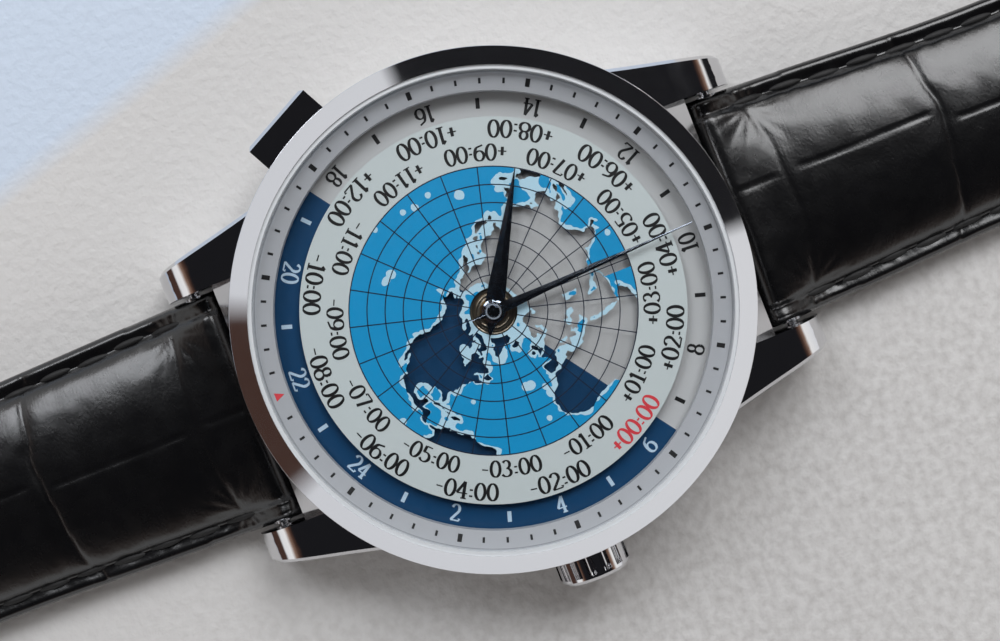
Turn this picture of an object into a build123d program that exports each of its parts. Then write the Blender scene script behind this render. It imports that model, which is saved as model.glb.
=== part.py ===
from build123d import *
import os
from math import atan2, cos, degrees, hypot, radians, sin, sqrt

# World time wristwatch lying on its back with both strap halves laid out.
# Millimetres. Origin at the centre of the case back's rest face, +Z up through the dial,
# +Y to 12 o'clock, +X to the crown at 3 o'clock.

# Clearances and shared allowances
running = 0.04
part_gap = 0.25
thin_gap = 0.12
overrun = 1.0
edge_break = 0.15

# Case
bezel_radius = 20.5
bezel_height = 2.5
bezel_top_round = 1.5
bezel_top_bulge = 0.09
bezel_foot_inset = 0.3
bezel_foot_height = 0.5
crystal_radius = 18.55
crystal_bevel = 0.45
crystal_edge_height = 1.05
crystal_dome = 0.45
crystal_seal_width = 0.3
crystal_proud = 0.3
case_wall_radius = 19.8
case_height = 7.5
case_foot_radius = 18.9
case_foot_height = 2.1
movement_bore_radius = 16.6
dial_bore_radius = 17.7
lug_gap = 20.0
lug_reach = 24.4
lug_tip_width = 2.4
lug_root_x = 14.5
lug_root_y = 14.6
lug_root_height = 7.3
lug_waist_y = 20.6
lug_waist_x = 13.15
lug_shoulder_y = 19.6
lug_shoulder_height = 6.6
lug_nose_height = 2.2
lug_under_height = 0.25
lug_edge_bevel = 0.28
lug_web_gap = 0.15
lug_web_drop = 2.7
lug_web_lift = 1.8

# Case back
back_flange_height = 0.9
back_flange_radius = 18.6
back_spigot_gap = 0.2
window_radius = 14.0
window_thickness = 1.2
window_seal_width = 0.3
back_seal_inner = 16.75
back_seal_width = 0.45
back_seal_height = 0.4
back_screw_count = 6
back_screw_circle = 17.9
back_screw_head_radius = 0.55
back_screw_head_height = 0.4
back_screw_radius = 0.3
back_screw_length = 2.2
screw_slot_width = 0.16
screw_slot_depth = 0.15

# Levels of the movement, from the case back upwards
rotor_lift = 0.3
rotor_thickness = 0.8
ratchet_gap = 0.14
ratchet_thickness = 0.25
bridge_gap = 0.06
bridge_thickness = 0.8
train_height = 1.85
plate_thickness = 1.2
module_thickness = 1.2
disc_gap = 0.2
day_night_thickness = 0.3
map_gap = 0.3
map_thickness = 0.4
hour_gap = 0.25
hand_thickness = 0.15
minute_gap = 0.25

window_top = window_thickness
rotor_base = window_top + rotor_lift
rotor_top = rotor_base + rotor_thickness
ratchet_base = rotor_top + ratchet_gap
bridge_base = ratchet_base + ratchet_thickness + bridge_gap
bridge_top = bridge_base + bridge_thickness
plate_base = bridge_top + train_height
plate_top = plate_base + plate_thickness
module_base = plate_top
module_top = module_base + module_thickness
day_night_base = module_top + disc_gap
day_night_top = day_night_base + day_night_thickness
map_base = day_night_top + map_gap
map_top = map_base + map_thickness
hour_base = map_top + hour_gap
hour_top = hour_base + hand_thickness
minute_base = hour_top + minute_gap
minute_top = minute_base + hand_thickness

case_base = back_flange_height
bezel_base = case_base + case_height
bezel_top = bezel_base + bezel_height
crystal_seat_radius = crystal_radius + crystal_seal_width
crystal_base = bezel_top + crystal_proud - crystal_edge_height
crystal_shoulder = crystal_base + crystal_edge_height

# Dial furniture
flange_inner_radius = 17.05
flange_outer_radius = 18.7
flange_slope = 0.35
flange_wall = 0.9
flange_foot_gap = 0.1
day_night_radius = 17.4
day_night_hub_radius = 1.7
day_night_bore = 1.38
map_radius = 15.15
map_hole_radius = 1.83
map_hub_flange_radius = 2.05
map_hub_flange_height = 0.18
map_tube_radius = 1.3
map_tube_bore = 0.95
map_tube_drop = 1.0

# Hands, as seen from above, in degrees clockwise from 12 o'clock
hour_hand_angle = 300.0
hour_hand_length = 11.1
hour_hand_tail = 2.1
hour_hand_half_width = 0.9
hour_length_shares = (0, 0.19, 0.28, 0.39, 0.65, 0.87, 1)
hour_width_shares = (0.55, 1, 0.87, 0.73, 0.57, 0.34, 0.06)
hour_hub_radius = 1.3
minute_hand_angle = 357.3
minute_hand_length = 16.8
minute_hand_tail = 1.9
minute_hand_half_width = 0.55
minute_length_shares = (0, 0.14, 0.26, 0.43, 0.6, 0.85, 1)
minute_width_shares = (0.6, 1, 0.82, 0.58, 0.4, 0.2, 0.08)
minute_hub_radius = 1.0
minute_cap_height = 0.12
minute_cap_radius = 0.6

# Crown and stem
crown_radius = 3.0
crown_length = 2.75
crown_gap = 0.35
crown_level = 4.8
crown_flutes = 15
crown_flute_width = 0.72
crown_flute_depth = 0.34
crown_rim = 0.5
crown_rim_bevel = 0.28
crown_bore_radius = 1.35
crown_bore_depth = 1.7
tube_radius = 1.1
tube_bore = 0.55
tube_proud = 1.2
stem_radius = 0.45
stem_end = 8.2
clutch_radius = 0.95
clutch_length = 1.2
clutch_at = 8.8
winding_pinion_radius = 1.05
winding_pinion_length = 0.9
winding_pinion_at = 11.6
winding_pinion_teeth = 14
square_share = 0.62
clutch_groove_radius = 0.62

# Pusher
pusher_bearing = 242.7
pusher_width = 6.4
pusher_height = 3.0
pusher_level = 6.7
pusher_outer = 22.8
pusher_inner = 19.7
pusher_bevel = 0.3
pusher_pocket_floor = 18.85
pusher_pocket_gap = 0.15
pusher_shaft_radius = 0.5
pusher_shaft_end = 15.35
pusher_spring_bore = 1.15
pusher_spring_depth = 1.7
pusher_spring_radius = 0.85
pusher_spring_wire = 0.14
pusher_spring_turns = 3
lever_thickness = 0.3
lever_pivot_radius = 0.45
lever_width = 0.9
lever_pivot_in = 12.6
lever_pivot_side = 2.6
lever_gap = 0.15
lever_pocket_depth = 0.95
lever_pocket_length = 7.4
lever_pocket_width = 5.6
module_hole_radius = 6.2

# Gear train: teeth and modules
going_module = 0.14
third_module = 0.115
escape_module = 0.09
motion_module = 0.12
barrel_teeth = 72
centre_pinion_teeth = 12
centre_teeth = 64
third_pinion_teeth = 8
third_teeth = 60
fourth_pinion_teeth = 8
fourth_teeth = 72
escape_pinion_teeth = 6
cannon_teeth = 12
minute_wheel_teeth = 36
minute_pinion_teeth = 10
hour_wheel_teeth = 40
hour_pinion_teeth = 20
idler_teeth = 30
idler_pinion_teeth = 24
day_wheel_teeth = 32
ratchet_module = 0.16
ratchet_teeth = 48
crown_wheel_teeth = 30
tooth_root_share = 0.29
tooth_tip_share = 0.12
addendum_share = 0.95
dedendum_share = 1.2
wheel_thickness = 0.2
pinion_overlap = 0.12
arbor_radius = 0.2
centre_arbor_radius = 0.33
centre_hole_radius = 0.75
centre_hub_radius = 1.2
train_hub_radius = 0.9
spoke_count = 5
cannon_radius = 0.55
hour_tube_radius = 0.88
post_radius = 0.28
pivot_radius = 0.11
jewel_radius = 0.45
jewel_thickness = 0.25

# Movement layout
movement_radius = 12.9
casing_ring_gap = 0.1
casing_ring_base = 2.85
casing_ring_height = 3.2
barrel_direction = 75.0
escape_x = -0.6
escape_y = -7.25
fourth_direction = 150.0
balance_x = 5.9
balance_y = -6.1
balance_radius = 3.7
balance_rim_width = 0.5
balance_rim_height = 0.4
balance_spoke_width = 0.45
balance_spokes = 3
escape_wheel_radius = 2.3
escape_wheel_teeth = 20
escape_tooth_depth = 0.55
pallet_reach = 3.3
pallet_arm_back = 0.75
pallet_half_span = 1.3
pallet_bar_width = 0.4
pallet_fork_reach = 1.9
pallet_thickness = 0.2
hairspring_inner = 0.55
hairspring_pitch = 0.22
hairspring_turns = 7
hairspring_strip = 0.06
hairspring_height = 0.1
hairspring_gap = 0.08
cock_thickness = 0.3
cock_half_width = 1.5
pallet_bridge_thickness = 0.3
pallet_bridge_half_width = 0.5
pallet_bridge_foot_radius = 0.6
pallet_bridge_reach = 2.6
roller_radius = 0.7
roller_thickness = 0.15
mainspring_inner = 1.5
mainspring_pitch = 0.36
mainspring_turns = 7
mainspring_strip = 0.1
mainspring_height = 0.36
barrel_wall = 0.35
barrel_height = 0.8
barrel_floor = 0.14
barrel_arbor_radius = 1.1
rotor_radius = 13.0
rotor_rim_width = 3.6
rotor_web = 0.35
rotor_hub_radius = 2.7
rotor_bore = 1.7
rotor_window_radius = 1.6
rotor_window_angles = (-148.0, -90.0, -32.0)
bearing_head_radius = 2.1
bearing_head_height = 0.12
bridge_split_y = 1.1
bridge_split_width = 0.4
bridge_foot_inset = 1.5
barrel_bridge_foot_angles = (33.0, 139.0)
train_bridge_foot_angles = (190.0, 241.0)
cock_foot_angle = -13.0
bridge_foot_radius = 1.0
bridge_screw_radius = 0.4
bridge_screw_head_radius = 0.75
bridge_screw_sink = 0.3

# Strap
spring_bar_y = 22.4
spring_bar_level = 3.0
spring_bar_radius = 0.85
spring_bar_pin_radius = 0.45
spring_bar_pin_depth = 0.9
strap_end_radius = 1.95
strap_end_width = 19.3
upper_strap_length = 75.0
upper_strap_width = 18.0
upper_taper_end = 45.0
lower_strap_length = 115.0
lower_strap_width = 18.6
lower_tip_width = 17.8
lower_taper_mid = 47.0
strap_lining = 1.0
strap_thickness = 2.8
strap_pad_height = 1.5
strap_pad_inset = 2.5
strap_pad_start = 24.0
strap_pad_end = 60.0
strap_pad_ramp = 5.0
strap_flat_from = 29.0
tip_run = 9.0
tip_half_width = 3.2
hole_radius = 0.95
hole_count = 7
hole_pitch = 6.5
first_hole_from_tip = 28.0

# Buckle and keepers
lift_from = 60.0
lift_to = 66.0
keeper_wall = 0.8
keeper_slip = 0.12
keeper_width = 5.0
keeper_room = 3.0
keeper_side_gap = 0.2
fixed_keeper_back = 7.0
free_keeper_back = 17.5
buckle_bar_radius = 0.6
buckle_end_radius = 1.45
buckle_reach = 11.5
buckle_side = 1.6
buckle_bar_width = 2.4
buckle_thickness = 2.0
buckle_arch = 1.1
buckle_ear_radius = 1.5
buckle_side_gap = 0.3
buckle_round = 0.4
tongue_width = 1.7
tongue_thickness = 1.0
tongue_rise = 0.45
tongue_slot_width = 2.3
tongue_slot_depth = 5.0
tongue_eye_radius = 1.15


def polar(radius, direction):
    """Give the point at a radius and a direction in degrees from +X."""
    return (radius * cos(radians(direction)), radius * sin(radians(direction)))


def clock(angle):
    """Turn degrees clockwise from 12 o'clock into degrees from +X."""
    return 90 - angle


def step_along(start, radius, direction):
    """Give the point that lies at a radius and direction from another point."""
    dx, dy = polar(radius, direction)
    return (start[0] + dx, start[1] + dy)


def disc(centre, radius, base, height, mode=Mode.ADD):
    """Add or cut a round disc in the open part."""
    with BuildSketch(Plane.XY.offset(base)) as outline:
        with Locations(centre):
            Circle(radius)
    extrude(outline.sketch, amount=height, mode=mode)


def ring(inner, outer, base, height, mode=Mode.ADD, centre=(0, 0)):
    """Add or cut a flat ring in the open part."""
    with BuildSketch(Plane.XY.offset(base)) as outline:
        with Locations(centre):
            Circle(outer)
            Circle(inner, mode=Mode.SUBTRACT)
    extrude(outline.sketch, amount=height, mode=mode)


def turned(points, mode=Mode.ADD):
    """Add or cut a body turned about the dial axis from its half section."""
    with BuildSketch(Plane.XZ) as section:
        with BuildLine():
            Polyline(*points, close=True)
        make_face()
    revolve(section.sketch, axis=Axis.Z, mode=mode)


def toothed(centre, teeth, module, phase, base, height, mode=Mode.ADD):
    """Add a toothed disc whose first tooth points along the phase direction."""
    pitch_angle = 360 / teeth
    root = module * (teeth / 2 - dedendum_share)
    tip = module * (teeth / 2 + addendum_share)
    points = []
    for tooth in range(teeth):
        middle = phase + tooth * pitch_angle
        points.append(step_along(centre, root, middle - tooth_root_share * pitch_angle))
        points.append(step_along(centre, tip, middle - tooth_tip_share * pitch_angle))
        points.append(step_along(centre, tip, middle + tooth_tip_share * pitch_angle))
        points.append(step_along(centre, root, middle + tooth_root_share * pitch_angle))
    with BuildSketch(Plane.XY.offset(base)) as outline:
        with BuildLine():
            Polyline(*points, close=True)
        make_face()
    extrude(outline.sketch, amount=height, mode=mode)


def meshed_phase(lead_phase, lead_teeth, direction, teeth):
    """Give the phase that puts a wheel's gap on its driver's tooth at rest."""
    return direction + 180 - (lead_phase - direction) * lead_teeth / teeth - 180 / teeth


def flat_spiral(centre, inner, pitch, turns, strip, base, height):
    """Add a flat wound strip, made of half circles about two centres in turn."""
    with BuildLine(Plane.XY.offset(base + height / 2)) as path:
        radius = inner
        middle = centre[0]
        for half in range(2 * turns):
            side = 1 if half % 2 == 0 else -1
            start = (middle + side * radius, centre[1])
            top = (middle, centre[1] + side * radius)
            end = (middle - side * radius, centre[1])
            ThreePointArc(start, top, end)
            middle += side * pitch / 2
            radius += pitch / 2
    with BuildSketch(Plane(origin=(centre[0] + inner, centre[1], base + height / 2), x_dir=(1, 0, 0),
                           z_dir=(0, 1, 0))) as section:
        Rectangle(strip, height)
    sweep(section.sketch, path=path.wires()[0])


def arbor(centre, base, top, radius=arbor_radius):
    """Add a wheel's arbor with a thin pivot at each end."""
    disc(centre, radius, base + jewel_thickness, top - base - 2 * jewel_thickness)
    disc(centre, pivot_radius, base, top - base)


def save(builder, name):
    """Label a finished piece and write it."""
    builder.part.label = name
    export_step(builder.part, "parts/" + name + ".step")


os.makedirs("parts", exist_ok=True)

# Wheel centres
origin = (0, 0)
barrel_distance = going_module * (barrel_teeth + centre_pinion_teeth) / 2
barrel_centre = polar(barrel_distance, barrel_direction)
third_distance = going_module * (centre_teeth + third_pinion_teeth) / 2
fourth_distance = third_module * (third_teeth + fourth_pinion_teeth) / 2
escape_distance = escape_module * (fourth_teeth + escape_pinion_teeth) / 2
escape_centre = (escape_x, escape_y)
fourth_centre = step_along(escape_centre, escape_distance, fourth_direction)
fourth_from_axis = hypot(*fourth_centre)
third_along = (third_distance ** 2 - fourth_distance ** 2 + fourth_from_axis ** 2) / (2 * fourth_from_axis)
third_aside = sqrt(third_distance ** 2 - third_along ** 2)
fourth_unit = (fourth_centre[0] / fourth_from_axis, fourth_centre[1] / fourth_from_axis)
third_centre = (fourth_unit[0] * third_along + fourth_unit[1] * third_aside,
                fourth_unit[1] * third_along - fourth_unit[0] * third_aside)
balance_centre = (balance_x, balance_y)


def direction_to(start, end):
    """Give the direction from one point to another, in degrees from +X."""
    return degrees(atan2(end[1] - start[1], end[0] - start[0]))


# Levels of the wheels between the bridges and the main plate
centre_wheel_base = bridge_top + part_gap
third_wheel_base = centre_wheel_base + wheel_thickness + part_gap
fourth_wheel_base = third_wheel_base + wheel_thickness + part_gap
escape_wheel_base = third_wheel_base
barrel_top = plate_base - thin_gap
barrel_base = barrel_top - barrel_height
barrel_teeth_base = barrel_top - wheel_thickness
cock_top = bridge_base + cock_thickness
hairspring_base = cock_top + hairspring_gap
balance_rim_base = hairspring_base + hairspring_height + hairspring_gap
pallet_bridge_base = balance_rim_base + balance_rim_height + thin_gap
motion_base = plate_top + thin_gap
hour_wheel_base = motion_base + wheel_thickness + thin_gap
hour_pinion_base = hour_wheel_base + wheel_thickness
idler_pinion_base = hour_pinion_base + wheel_thickness + thin_gap

# Phases that put the teeth in mesh at rest
centre_phase = 0.0
barrel_phase = meshed_phase(centre_phase, centre_pinion_teeth, barrel_direction, barrel_teeth)
third_direction = direction_to(origin, third_centre)
third_phase = meshed_phase(centre_phase, centre_teeth, third_direction, third_pinion_teeth)
fourth_way = direction_to(third_centre, fourth_centre)
fourth_phase = meshed_phase(third_phase, third_teeth, fourth_way, fourth_pinion_teeth)
escape_way = direction_to(fourth_centre, escape_centre)
escape_phase = meshed_phase(fourth_phase, fourth_teeth, escape_way, escape_pinion_teeth)
motion_direction = 200.0
motion_distance = motion_module * (cannon_teeth + minute_wheel_teeth) / 2
motion_centre = polar(motion_distance, motion_direction)
hour_module = 2 * motion_distance / (minute_pinion_teeth + hour_wheel_teeth)
minute_wheel_phase = meshed_phase(centre_phase, cannon_teeth, motion_direction, minute_wheel_teeth)
hour_phase = meshed_phase(minute_wheel_phase, minute_pinion_teeth, motion_direction + 180, hour_wheel_teeth)
idler_direction = 90.0
idler_module = 0.14
idler_distance = idler_module * (hour_pinion_teeth + idler_teeth) / 2
idler_centre = polar(idler_distance, idler_direction)
day_module = 2 * idler_distance / (idler_pinion_teeth + day_wheel_teeth)
idler_phase = meshed_phase(hour_phase, hour_pinion_teeth, idler_direction, idler_teeth)
day_phase = meshed_phase(idler_phase, idler_pinion_teeth, idler_direction + 180, day_wheel_teeth)
ratchet_distance = ratchet_module * (ratchet_teeth + crown_wheel_teeth) / 2
crown_wheel_direction = -25.0
crown_wheel_centre = step_along(barrel_centre, ratchet_distance, crown_wheel_direction)
crown_wheel_phase = meshed_phase(centre_phase, ratchet_teeth, crown_wheel_direction, crown_wheel_teeth)

# Pusher frame: local x runs outwards from the dial axis along the pusher
pusher_direction = clock(pusher_bearing)
pusher_axis = (cos(radians(pusher_direction)), sin(radians(pusher_direction)), 0)


def link(start, end, half_width):
    """Draw a bar with round ends between two points of the open sketch."""
    with Locations(((start[0] + end[0]) / 2, (start[1] + end[1]) / 2)):
        SlotCenterToCenter(hypot(end[0] - start[0], end[1] - start[1]), 2 * half_width,
                           rotation=direction_to(start, end))


def pusher_plane(level):
    """Give the level plane whose x runs outwards along the pusher."""
    return Plane(origin=(0, 0, level), x_dir=pusher_axis, z_dir=(0, 0, 1))


def pusher_section(radius):
    """Give the upright plane across the pusher, which faces outwards."""
    place = (pusher_axis[0] * radius, pusher_axis[1] * radius, pusher_level)
    return Plane(origin=place, x_dir=(-pusher_axis[1], pusher_axis[0], 0), z_dir=pusher_axis)


def crown_section(reach):
    """Give the upright plane across the crown, which faces outwards."""
    return Plane(origin=(reach, 0, crown_level), x_dir=(0, 1, 0), z_dir=(1, 0, 0))


# One lug, cut from a block by its plan and by its side view
lug_tip_x = lug_gap / 2 + lug_tip_width
lug_base = case_base + lug_under_height
with BuildPart() as lug:
    with BuildSketch(Plane.XY.offset(lug_base)) as lug_plan:
        with BuildLine():
            waist = (lug_waist_x, lug_waist_y)
            Polyline((lug_gap / 2, movement_bore_radius), (lug_gap / 2, lug_reach), (lug_tip_x, lug_reach))
            ThreePointArc((lug_tip_x, lug_reach), waist, (lug_root_x, lug_root_y))
            Polyline((lug_root_x, lug_root_y), (lug_gap / 2 + lug_tip_width, lug_root_y - lug_tip_width),
                     (lug_gap / 2, movement_bore_radius))
        make_face()
    extrude(lug_plan.sketch, amount=case_height)
    with BuildSketch(Plane.YZ) as lug_side:
        with BuildLine():
            root_y = lug_root_y - 2 * lug_tip_width
            root_top = case_base + lug_root_height
            shoulder = (lug_shoulder_y, case_base + lug_shoulder_height)
            nose = (lug_reach, case_base + lug_nose_height)
            Line((root_y, lug_base), (root_y, root_top))
            Line((root_y, root_top), shoulder)
            top_curve = Spline(shoulder, nose, tangents=((1, -(lug_root_height - lug_shoulder_height)
                               / (lug_shoulder_y - root_y)), (0, -1)))
            ThreePointArc(nose, (lug_reach - edge_break, lug_base + 2 * edge_break),
                          (lug_reach - 4 * edge_break, lug_base))
            Line((lug_reach - 4 * edge_break, lug_base), (root_y, lug_base))
        make_face()
    extrude(lug_side.sketch, amount=bezel_radius, both=True, mode=Mode.INTERSECT)
    flank = lug.faces().filter_by(lambda face: face.geom_type == GeomType.CYLINDER
                                  and abs(face.normal_at().Z) < cos(radians(60))
                                  and face.center().X > lug_gap / 2 + lug_tip_width / 2)
    bevelled = [edge for edge in flank[0].edges() if edge.center().Z > case_base + case_height / 2]
    chamfer(bevelled, lug_edge_bevel)

with BuildPart() as case_middle:
    add(lug.part)
    mirror(about=Plane.YZ)
    mirror(about=Plane.XZ)
    case_top = case_base + case_height
    foot_top = case_base + case_foot_height
    with BuildSketch(Plane.XZ) as case_section:
        with BuildLine():
            Polyline((case_foot_radius, case_base), (movement_bore_radius, case_base),
                     (movement_bore_radius, module_top), (dial_bore_radius, module_top),
                     (dial_bore_radius, case_top), (case_wall_radius, case_top), (case_wall_radius, foot_top))
            ThreePointArc((case_wall_radius, foot_top),
                          (case_wall_radius - (case_wall_radius - case_foot_radius) / 4,
                           case_base + case_foot_height / 2), (case_foot_radius, case_base))
        make_face()
    revolve(case_section.sketch, axis=Axis.Z)
    web_reach = spring_bar_y - strap_end_radius - lug_web_gap
    web_top = case_top - lug_edge_bevel / 2
    for end in (-1, 1):
        with BuildSketch(Plane.YZ) as lug_web:
            Polygon((end * movement_bore_radius, case_base + lug_web_lift),
                    (end * web_reach, case_base + lug_web_lift), (end * web_reach, web_top - lug_web_drop),
                    (end * (web_reach - lug_web_drop), web_top), (end * movement_bore_radius, web_top),
                    align=None)
        extrude(lug_web.sketch, amount=lug_gap / 2, both=True)
    disc(origin, movement_bore_radius, case_base, case_height, Mode.SUBTRACT)
    disc(origin, dial_bore_radius, module_top, case_height, Mode.SUBTRACT)
    ring(back_seal_inner, back_seal_inner + back_seal_width, case_base, back_seal_height, Mode.SUBTRACT)
    with BuildSketch(Plane.XY.offset(case_base)) as back_screw_holes:
        with PolarLocations(back_screw_circle, back_screw_count, start_angle=30):
            Circle(back_screw_radius)
    extrude(back_screw_holes.sketch, amount=back_screw_length - case_base + edge_break, mode=Mode.SUBTRACT)
    with BuildSketch(crown_section(movement_bore_radius - overrun)) as stem_hole:
        Circle(tube_radius)
    extrude(stem_hole.sketch, amount=bezel_radius, mode=Mode.SUBTRACT)
    with BuildSketch(pusher_section(movement_bore_radius - overrun)) as shaft_hole:
        Circle(pusher_shaft_radius + running)
    extrude(shaft_hole.sketch, amount=bezel_radius, mode=Mode.SUBTRACT)
    with BuildSketch(pusher_section(pusher_pocket_floor)) as pusher_pocket:
        Rectangle(pusher_width + 2 * pusher_pocket_gap, pusher_height + 2 * pusher_pocket_gap)
    extrude(pusher_pocket.sketch, amount=bezel_radius, mode=Mode.SUBTRACT)
    pin_reach = lug_gap / 2 + spring_bar_pin_depth + running
    for end in (-1, 1):
        with BuildSketch(Plane.YZ) as bar_seat:
            with Locations((end * spring_bar_y, spring_bar_level)):
                Circle(spring_bar_pin_radius + running)
        extrude(bar_seat.sketch, amount=pin_reach, both=True, mode=Mode.SUBTRACT)
save(case_middle, "case_middle")

with BuildPart() as bezel:
    with BuildSketch(Plane.XZ) as bezel_section:
        with BuildLine():
            inner_top = (crystal_seat_radius, bezel_top)
            shoulder = (bezel_radius, bezel_top - bezel_top_round)
            crest = (crystal_seat_radius + (bezel_radius - crystal_seat_radius) / 2,
                     bezel_top - bezel_top_round / 2 + bezel_top_bulge)
            Line((crystal_seat_radius, bezel_base), inner_top)
            ThreePointArc(inner_top, crest, shoulder)
            Polyline(shoulder, (bezel_radius, bezel_base + bezel_foot_height),
                     (bezel_radius - bezel_foot_inset, bezel_base), (crystal_seat_radius, bezel_base))
        make_face()
    revolve(bezel_section.sketch, axis=Axis.Z)
save(bezel, "bezel")

with BuildPart() as crystal:
    with BuildSketch(Plane.XZ) as crystal_section:
        with BuildLine():
            rim_top = (crystal_radius, crystal_shoulder - crystal_bevel)
            bevel_top = (crystal_radius - crystal_bevel, crystal_shoulder)
            peak = (0, crystal_shoulder + crystal_dome)
            sphere = (bevel_top[0] ** 2 + crystal_dome ** 2) / (2 * crystal_dome)
            half_way = bevel_top[0] / 2
            Polyline((0, crystal_base), (crystal_radius, crystal_base), rim_top, bevel_top)
            ThreePointArc(bevel_top, (half_way, peak[1] - sphere + sqrt(sphere ** 2 - half_way ** 2)), peak)
            Line(peak, (0, crystal_base))
        make_face()
    revolve(crystal_section.sketch, axis=Axis.Z)
save(crystal, "crystal")

with BuildPart() as crystal_seal:
    ring(crystal_radius, crystal_seat_radius, crystal_base, bezel_top - crystal_base - edge_break)
save(crystal_seal, "crystal_seal")

# Minute flange: a sloped ring under the crystal, with a wall down to the discs
flange_top = crystal_base - flange_foot_gap
flange_lip = flange_top - flange_slope
with BuildPart() as minute_flange:
    turned([(flange_inner_radius, flange_lip - flange_wall), (flange_inner_radius, flange_lip),
            (flange_outer_radius, flange_top), (flange_outer_radius, case_top),
            (dial_bore_radius + part_gap, case_top), (dial_bore_radius + part_gap, flange_lip - flange_wall)])
save(minute_flange, "minute_flange")

# Case back with its window, seals and screws
spigot_top = casing_ring_base - running
back_spigot_radius = movement_bore_radius - back_spigot_gap
window_seat = window_radius + window_seal_width
with BuildPart() as case_back:
    ring(window_seat, back_flange_radius, 0, back_flange_height)
    chamfer(case_back.faces().sort_by(Axis.Z)[0].outer_wire().edges(), edge_break / 2)
    ring(window_seat, back_spigot_radius, back_flange_height, spigot_top - back_flange_height)
    with BuildSketch(Plane.XY) as screw_heads:
        with PolarLocations(back_screw_circle, back_screw_count, start_angle=30):
            Circle(back_screw_head_radius)
    extrude(screw_heads.sketch, amount=back_screw_head_height, mode=Mode.SUBTRACT)
    with BuildSketch(Plane.XY) as screw_shanks:
        with PolarLocations(back_screw_circle, back_screw_count, start_angle=30):
            Circle(back_screw_radius)
    extrude(screw_shanks.sketch, amount=back_flange_height, mode=Mode.SUBTRACT)
save(case_back, "case_back")

with BuildPart() as case_back_window:
    disc(origin, window_radius, 0, window_thickness)
save(case_back_window, "case_back_window")

with BuildPart() as window_seal:
    ring(window_radius, window_seat, edge_break, window_thickness - edge_break)
save(window_seal, "window_seal")

with BuildPart() as case_back_seal:
    ring(back_seal_inner, back_seal_inner + back_seal_width, case_base, back_seal_height)
save(case_back_seal, "case_back_seal")

with BuildPart() as case_back_screws:
    with BuildSketch(Plane.XY.offset(edge_break)) as heads:
        with PolarLocations(back_screw_circle, back_screw_count, start_angle=30):
            Circle(back_screw_head_radius)
    extrude(heads.sketch, amount=back_screw_head_height - edge_break)
    with BuildSketch(Plane.XY.offset(edge_break)) as shanks:
        with PolarLocations(back_screw_circle, back_screw_count, start_angle=30):
            Circle(back_screw_radius)
    extrude(shanks.sketch, amount=back_screw_length - edge_break)
    with BuildSketch(Plane.XY.offset(edge_break)) as slots:
        with PolarLocations(back_screw_circle, back_screw_count, start_angle=30):
            Rectangle(screw_slot_width, 2 * back_screw_head_radius)
    extrude(slots.sketch, amount=screw_slot_depth, mode=Mode.SUBTRACT)
save(case_back_screws, "case_back_screws")

# Crown, its tube, stem and the two small wheels on the stem
crown_inner = case_wall_radius + crown_gap
tube_inner_end = movement_bore_radius
tube_outer_end = crown_inner + tube_proud
with BuildPart() as crown_tube:
    with BuildSketch(crown_section(tube_inner_end)) as tube_outline:
        Circle(tube_radius)
        Circle(tube_bore, mode=Mode.SUBTRACT)
    extrude(tube_outline.sketch, amount=tube_outer_end - tube_inner_end)
save(crown_tube, "crown_tube")

with BuildPart() as crown:
    with BuildSketch(crown_section(crown_inner)) as crown_blank:
        Circle(crown_radius)
    extrude(crown_blank.sketch, amount=crown_length)
    chamfer(crown.edges().filter_by(GeomType.CIRCLE).group_by(Axis.X)[-1], crown_rim_bevel)
    with BuildSketch(crown_section(crown_inner)) as flutes:
        with PolarLocations(crown_radius, crown_flutes):
            SlotOverall(2 * crown_flute_depth + crown_flute_width, crown_flute_width)
    extrude(flutes.sketch, amount=crown_length - crown_rim, mode=Mode.SUBTRACT)
    with BuildSketch(crown_section(crown_inner)) as crown_bore:
        Circle(crown_bore_radius)
    extrude(crown_bore.sketch, amount=crown_bore_depth, mode=Mode.SUBTRACT)
    with BuildSketch(crown_section(crown_inner)) as stem_seat:
        Circle(stem_radius)
    extrude(stem_seat.sketch, amount=crown_bore_depth + edge_break, mode=Mode.SUBTRACT)
save(crown, "crown")

with BuildPart() as crown_seal:
    with BuildSketch(crown_section(tube_outer_end - tube_proud / 2)) as seal_outline:
        Circle(crown_bore_radius)
        Circle(tube_radius + running, mode=Mode.SUBTRACT)
    extrude(seal_outline.sketch, amount=tube_proud / 3)
save(crown_seal, "crown_seal")

with BuildPart() as winding_stem:
    with BuildSketch(crown_section(stem_end)) as stem_outline:
        Circle(stem_radius)
    extrude(stem_outline.sketch, amount=crown_inner + crown_bore_depth + edge_break - stem_end)
    with BuildSketch(crown_section(stem_end)) as stem_square:
        Circle(stem_radius)
        Rectangle(2 * stem_radius * square_share, 2 * stem_radius * square_share, mode=Mode.SUBTRACT)
    extrude(stem_square.sketch, amount=winding_pinion_at - stem_end, mode=Mode.SUBTRACT)
save(winding_stem, "winding_stem")

with BuildPart() as sliding_pinion:
    with BuildSketch(crown_section(clutch_at)) as clutch_outline:
        Circle(clutch_radius)
        Rectangle(2 * stem_radius * square_share, 2 * stem_radius * square_share, mode=Mode.SUBTRACT)
    extrude(clutch_outline.sketch, amount=clutch_length)
    with BuildSketch(crown_section(clutch_at + clutch_length / 3)) as fork_groove:
        Circle(clutch_radius + overrun)
        Circle(clutch_groove_radius, mode=Mode.SUBTRACT)
    extrude(fork_groove.sketch, amount=clutch_length / 4, mode=Mode.SUBTRACT)
save(sliding_pinion, "sliding_pinion")

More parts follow.
